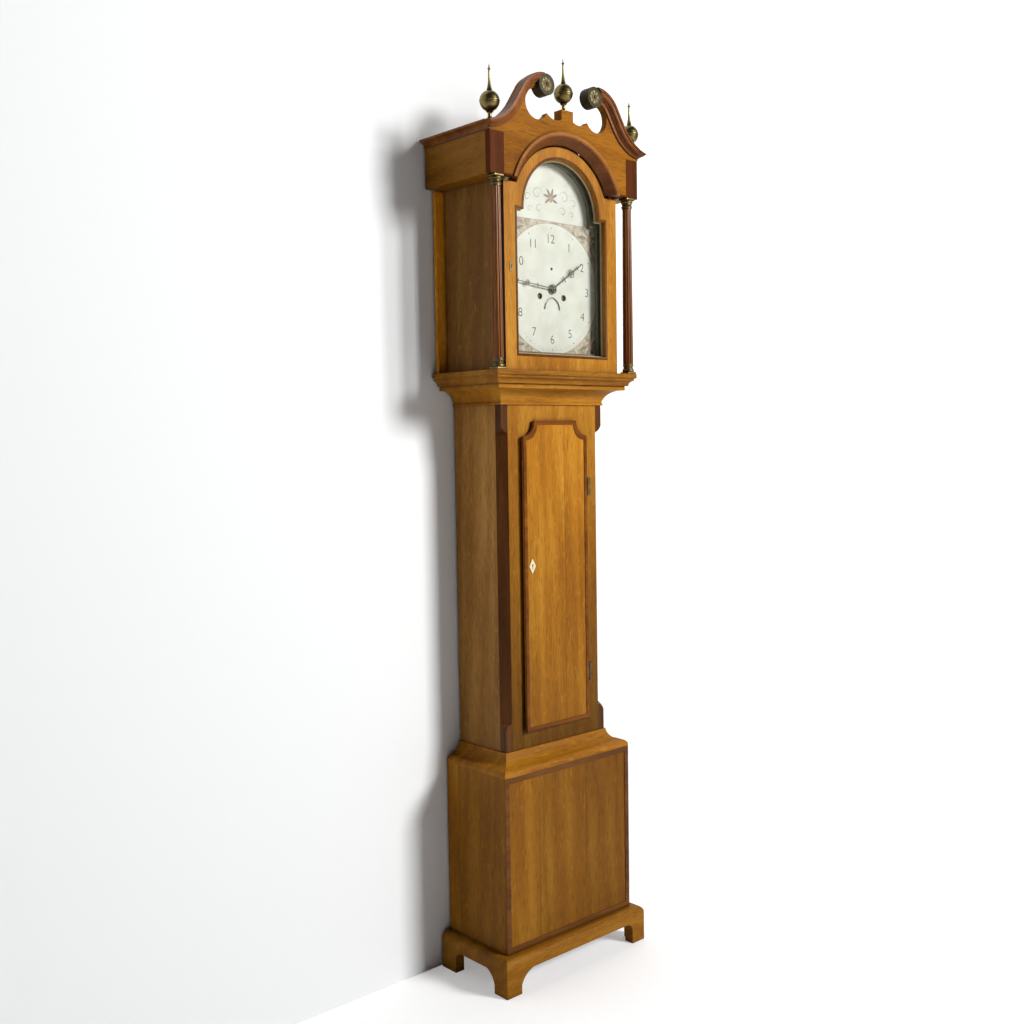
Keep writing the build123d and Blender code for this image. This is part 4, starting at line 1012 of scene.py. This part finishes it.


# ---- Weights and gut lines
# Two cast iron weights, each on a brass pulley in a bight of gut. The free end of the gut is
# tied to the seatboard and the other winds on its barrel, so both falls shorten as it is wound; here they are
# drawn at one length.

def cast_iron():
    material, tree = fresh("cast_iron")
    place = object_place(tree)[0]
    lump = noise(tree, place, 160.0, 6.0)
    rust = noise(tree, place, 30.0, 4.0)
    colour = blended(tree, spread(tree, rust, 0.5, 0.75, 0.0, 0.7), (0.035, 0.034, 0.033, 1),
        (0.11, 0.055, 0.028, 1))
    bump = bumped(tree, lump, 0.6, 0.0008)
    shaded(tree, {"Base Color": colour, "Metallic": 0.4, "Roughness": 0.6, "Normal": bump})
    return material


dress(cast_iron(), "going_weight", "strike_weight")


def gut():
    """Twisted gut: pale strands that wind round the line."""
    material, tree = fresh("gut_line")
    place = object_place(tree)[0]
    twist = add(tree, "ShaderNodeTexWave", {"Vector": place, "Scale": 260.0, "Distortion": 1.0},
        bands_direction="DIAGONAL").outputs["Fac"]
    colour = blended(tree, twist, (0.30, 0.20, 0.09, 1), (0.56, 0.43, 0.22, 1))
    shaded(tree, {"Base Color": colour, "Roughness": 0.5})
    return material


gut_look = gut()
pulley_z, pulley_radius, seat_z, travel = 0.518, 0.025, 1.619, 0.95
fall = seat_z - pulley_z
fall_side = np.stack([np.full(30, 0.0007), np.linspace(0, fall, 30)], -1)
fall_profile = np.concatenate([[[0.0, 0.0]], fall_side, [[0.0, fall]]])
for side, name in ((1, "going"), (-1, "strike")):
    falls = surface(name + "_gut",
        [turned(side * winding_x + way * pulley_radius, 0.115, pulley_z, fall_profile,
        12) for way in (-1, 1)])
    placed(falls, gut_look, "case", "gut", name + "_line")
    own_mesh(falls)


# ---- Door furniture
# A kite of bone let in round the trunk keyhole, a brass plate on the hood door, and brass
# butt hinges whose knuckles stand proud at the right of the trunk door.

def bone():
    material, tree = fresh("bone")
    place = object_place(tree)[0]
    drawn = add(tree, "ShaderNodeMapping", {"Vector": place, "Scale": (1, 1, 0.15)}).outputs[0]
    grain = noise(tree, drawn, 500.0, 3.0)
    colour = blended(tree, grain, tint(236, 228, 200), tint(200, 184, 140))
    shaded(tree, {"Base Color": colour, "Roughness": 0.35, "Subsurface Weight": 0.1,
        "Subsurface Radius": (0.002, 0.0015, 0.001)})
    return material


dress(bone(), "trunk_door_escutcheon")
dress(brass("brass_hinges", dull=0.75, bright=(0.34, 0.25, 0.11), brown=(0.06, 0.045, 0.02), seed=4.0),
    "trunk_door_hinges", "trunk_hinge_leaves")
dress(brass("brass_escutcheon", dull=0.7, bright=(0.30, 0.20, 0.08), brown=(0.06, 0.04, 0.02),
    seed=6.5), "hood_door_escutcheon")


# ---- Room
# A pale floor and wall, soft light from the right and front, and the viewer to the left.

def plain(name, low, high, shade, glow, see_through=False):
    """Flat rectangle between two corners, one of whose sizes is nothing."""
    corners = [low, (high[0], low[1], low[2]), high, (low[0], high[1], high[2])]
    mesh = bpy.data.meshes.new(name)
    mesh.from_pydata(corners, [], [(0, 1, 2, 3)])
    piece = bpy.data.objects.new(name, mesh)
    bpy.context.scene.collection.objects.link(piece)
    material, tree = fresh(name)
    seen = add(tree, "ShaderNodeLightPath").outputs["Is Camera Ray"]
    paint = add(tree, "ShaderNodeBsdfPrincipled", {
        "Base Color": shade, "Roughness": 0.9, "Specular IOR Level": 0.1,
        "Emission Color": (1, 1, 1, 1),
        "Emission Strength": sums(tree, "MULTIPLY", seen, glow)})
    if see_through:
        clear = add(tree, "ShaderNodeBsdfTransparent")
        behind = add(tree, "ShaderNodeNewGeometry").outputs["Backfacing"]
        paint = add(tree, "ShaderNodeMixShader", {0: behind, 1: paint.outputs[0], 2: clear.outputs[0]})
    add(tree, "ShaderNodeOutputMaterial", {"Surface": paint.outputs[0]})
    mesh.materials.append(material)


plain("floor", (-14.0, -14.0, -0.0002), (14.0, 14.0, -0.0002), (0.80, 0.80, 0.80, 1), 0.30)
plain("room_wall", (-14.0, 0.1365, -0.0002), (14.0, 0.1365, 9.0), (0.82, 0.83, 0.83, 1), 0.0, True)


softbox = bpy.data.lights.new("key", "AREA")
softbox.size, softbox.energy = 1.7, 535
key = bpy.data.objects.new("key", softbox)
bpy.context.scene.collection.objects.link(key)
key_place = (2.5, -5.6, 3.7)
key.location = key_place
away = np.array(key_place) - np.array([0, 0, 1.5])
key.rotation_euler = (math.atan2(math.hypot(away[0], away[1]), away[2]), 0,
    math.atan2(away[1], away[0]) + math.pi / 2)
world = bpy.data.worlds.new("room_light")
bpy.context.scene.world = world
world.use_nodes = True
sky = world.node_tree
sky.nodes.clear()
seen = add(sky, "ShaderNodeLightPath").outputs["Is Camera Ray"]
glow = add(sky, "ShaderNodeBackground",
    {"Color": (1, 1, 1, 1), "Strength": spread(sky, seen, 0.0, 1.0, 0.03, 1.0)})
add(sky, "ShaderNodeOutputWorld", {"Surface": glow.outputs[0]})
bpy.context.scene.view_settings.view_transform = "Standard"

eye = bpy.data.cameras.new("viewer")
eye.sensor_width, eye.lens = 36.0, 40.219
eye.clip_start, eye.clip_end = 0.05, 60.0
camera = bpy.data.objects.new("viewer", eye)
bpy.context.scene.collection.objects.link(camera)
yaw, pitch, roll = math.radians(41.92), math.radians(3.70), -0.0156
ahead = np.array([math.sin(yaw) * math.cos(pitch), math.cos(yaw) * math.cos(pitch), -math.sin(pitch)])
right = np.array([math.cos(yaw), -math.sin(yaw), 0.0])
up = np.array([math.sin(yaw) * math.sin(pitch), math.cos(yaw) * math.sin(pitch), math.cos(pitch)])
turned_right = math.cos(roll) * right + math.sin(roll) * up
turned_up = -math.sin(roll) * right + math.cos(roll) * up
axes = np.eye(4)
axes[:3, 0], axes[:3, 1], axes[:3, 2], axes[:3, 3] = turned_right, turned_up, -ahead, (-1.9977, -2.1136,
    1.3423)
camera.matrix_world = Matrix(axes.tolist())
bpy.context.scene.camera = camera
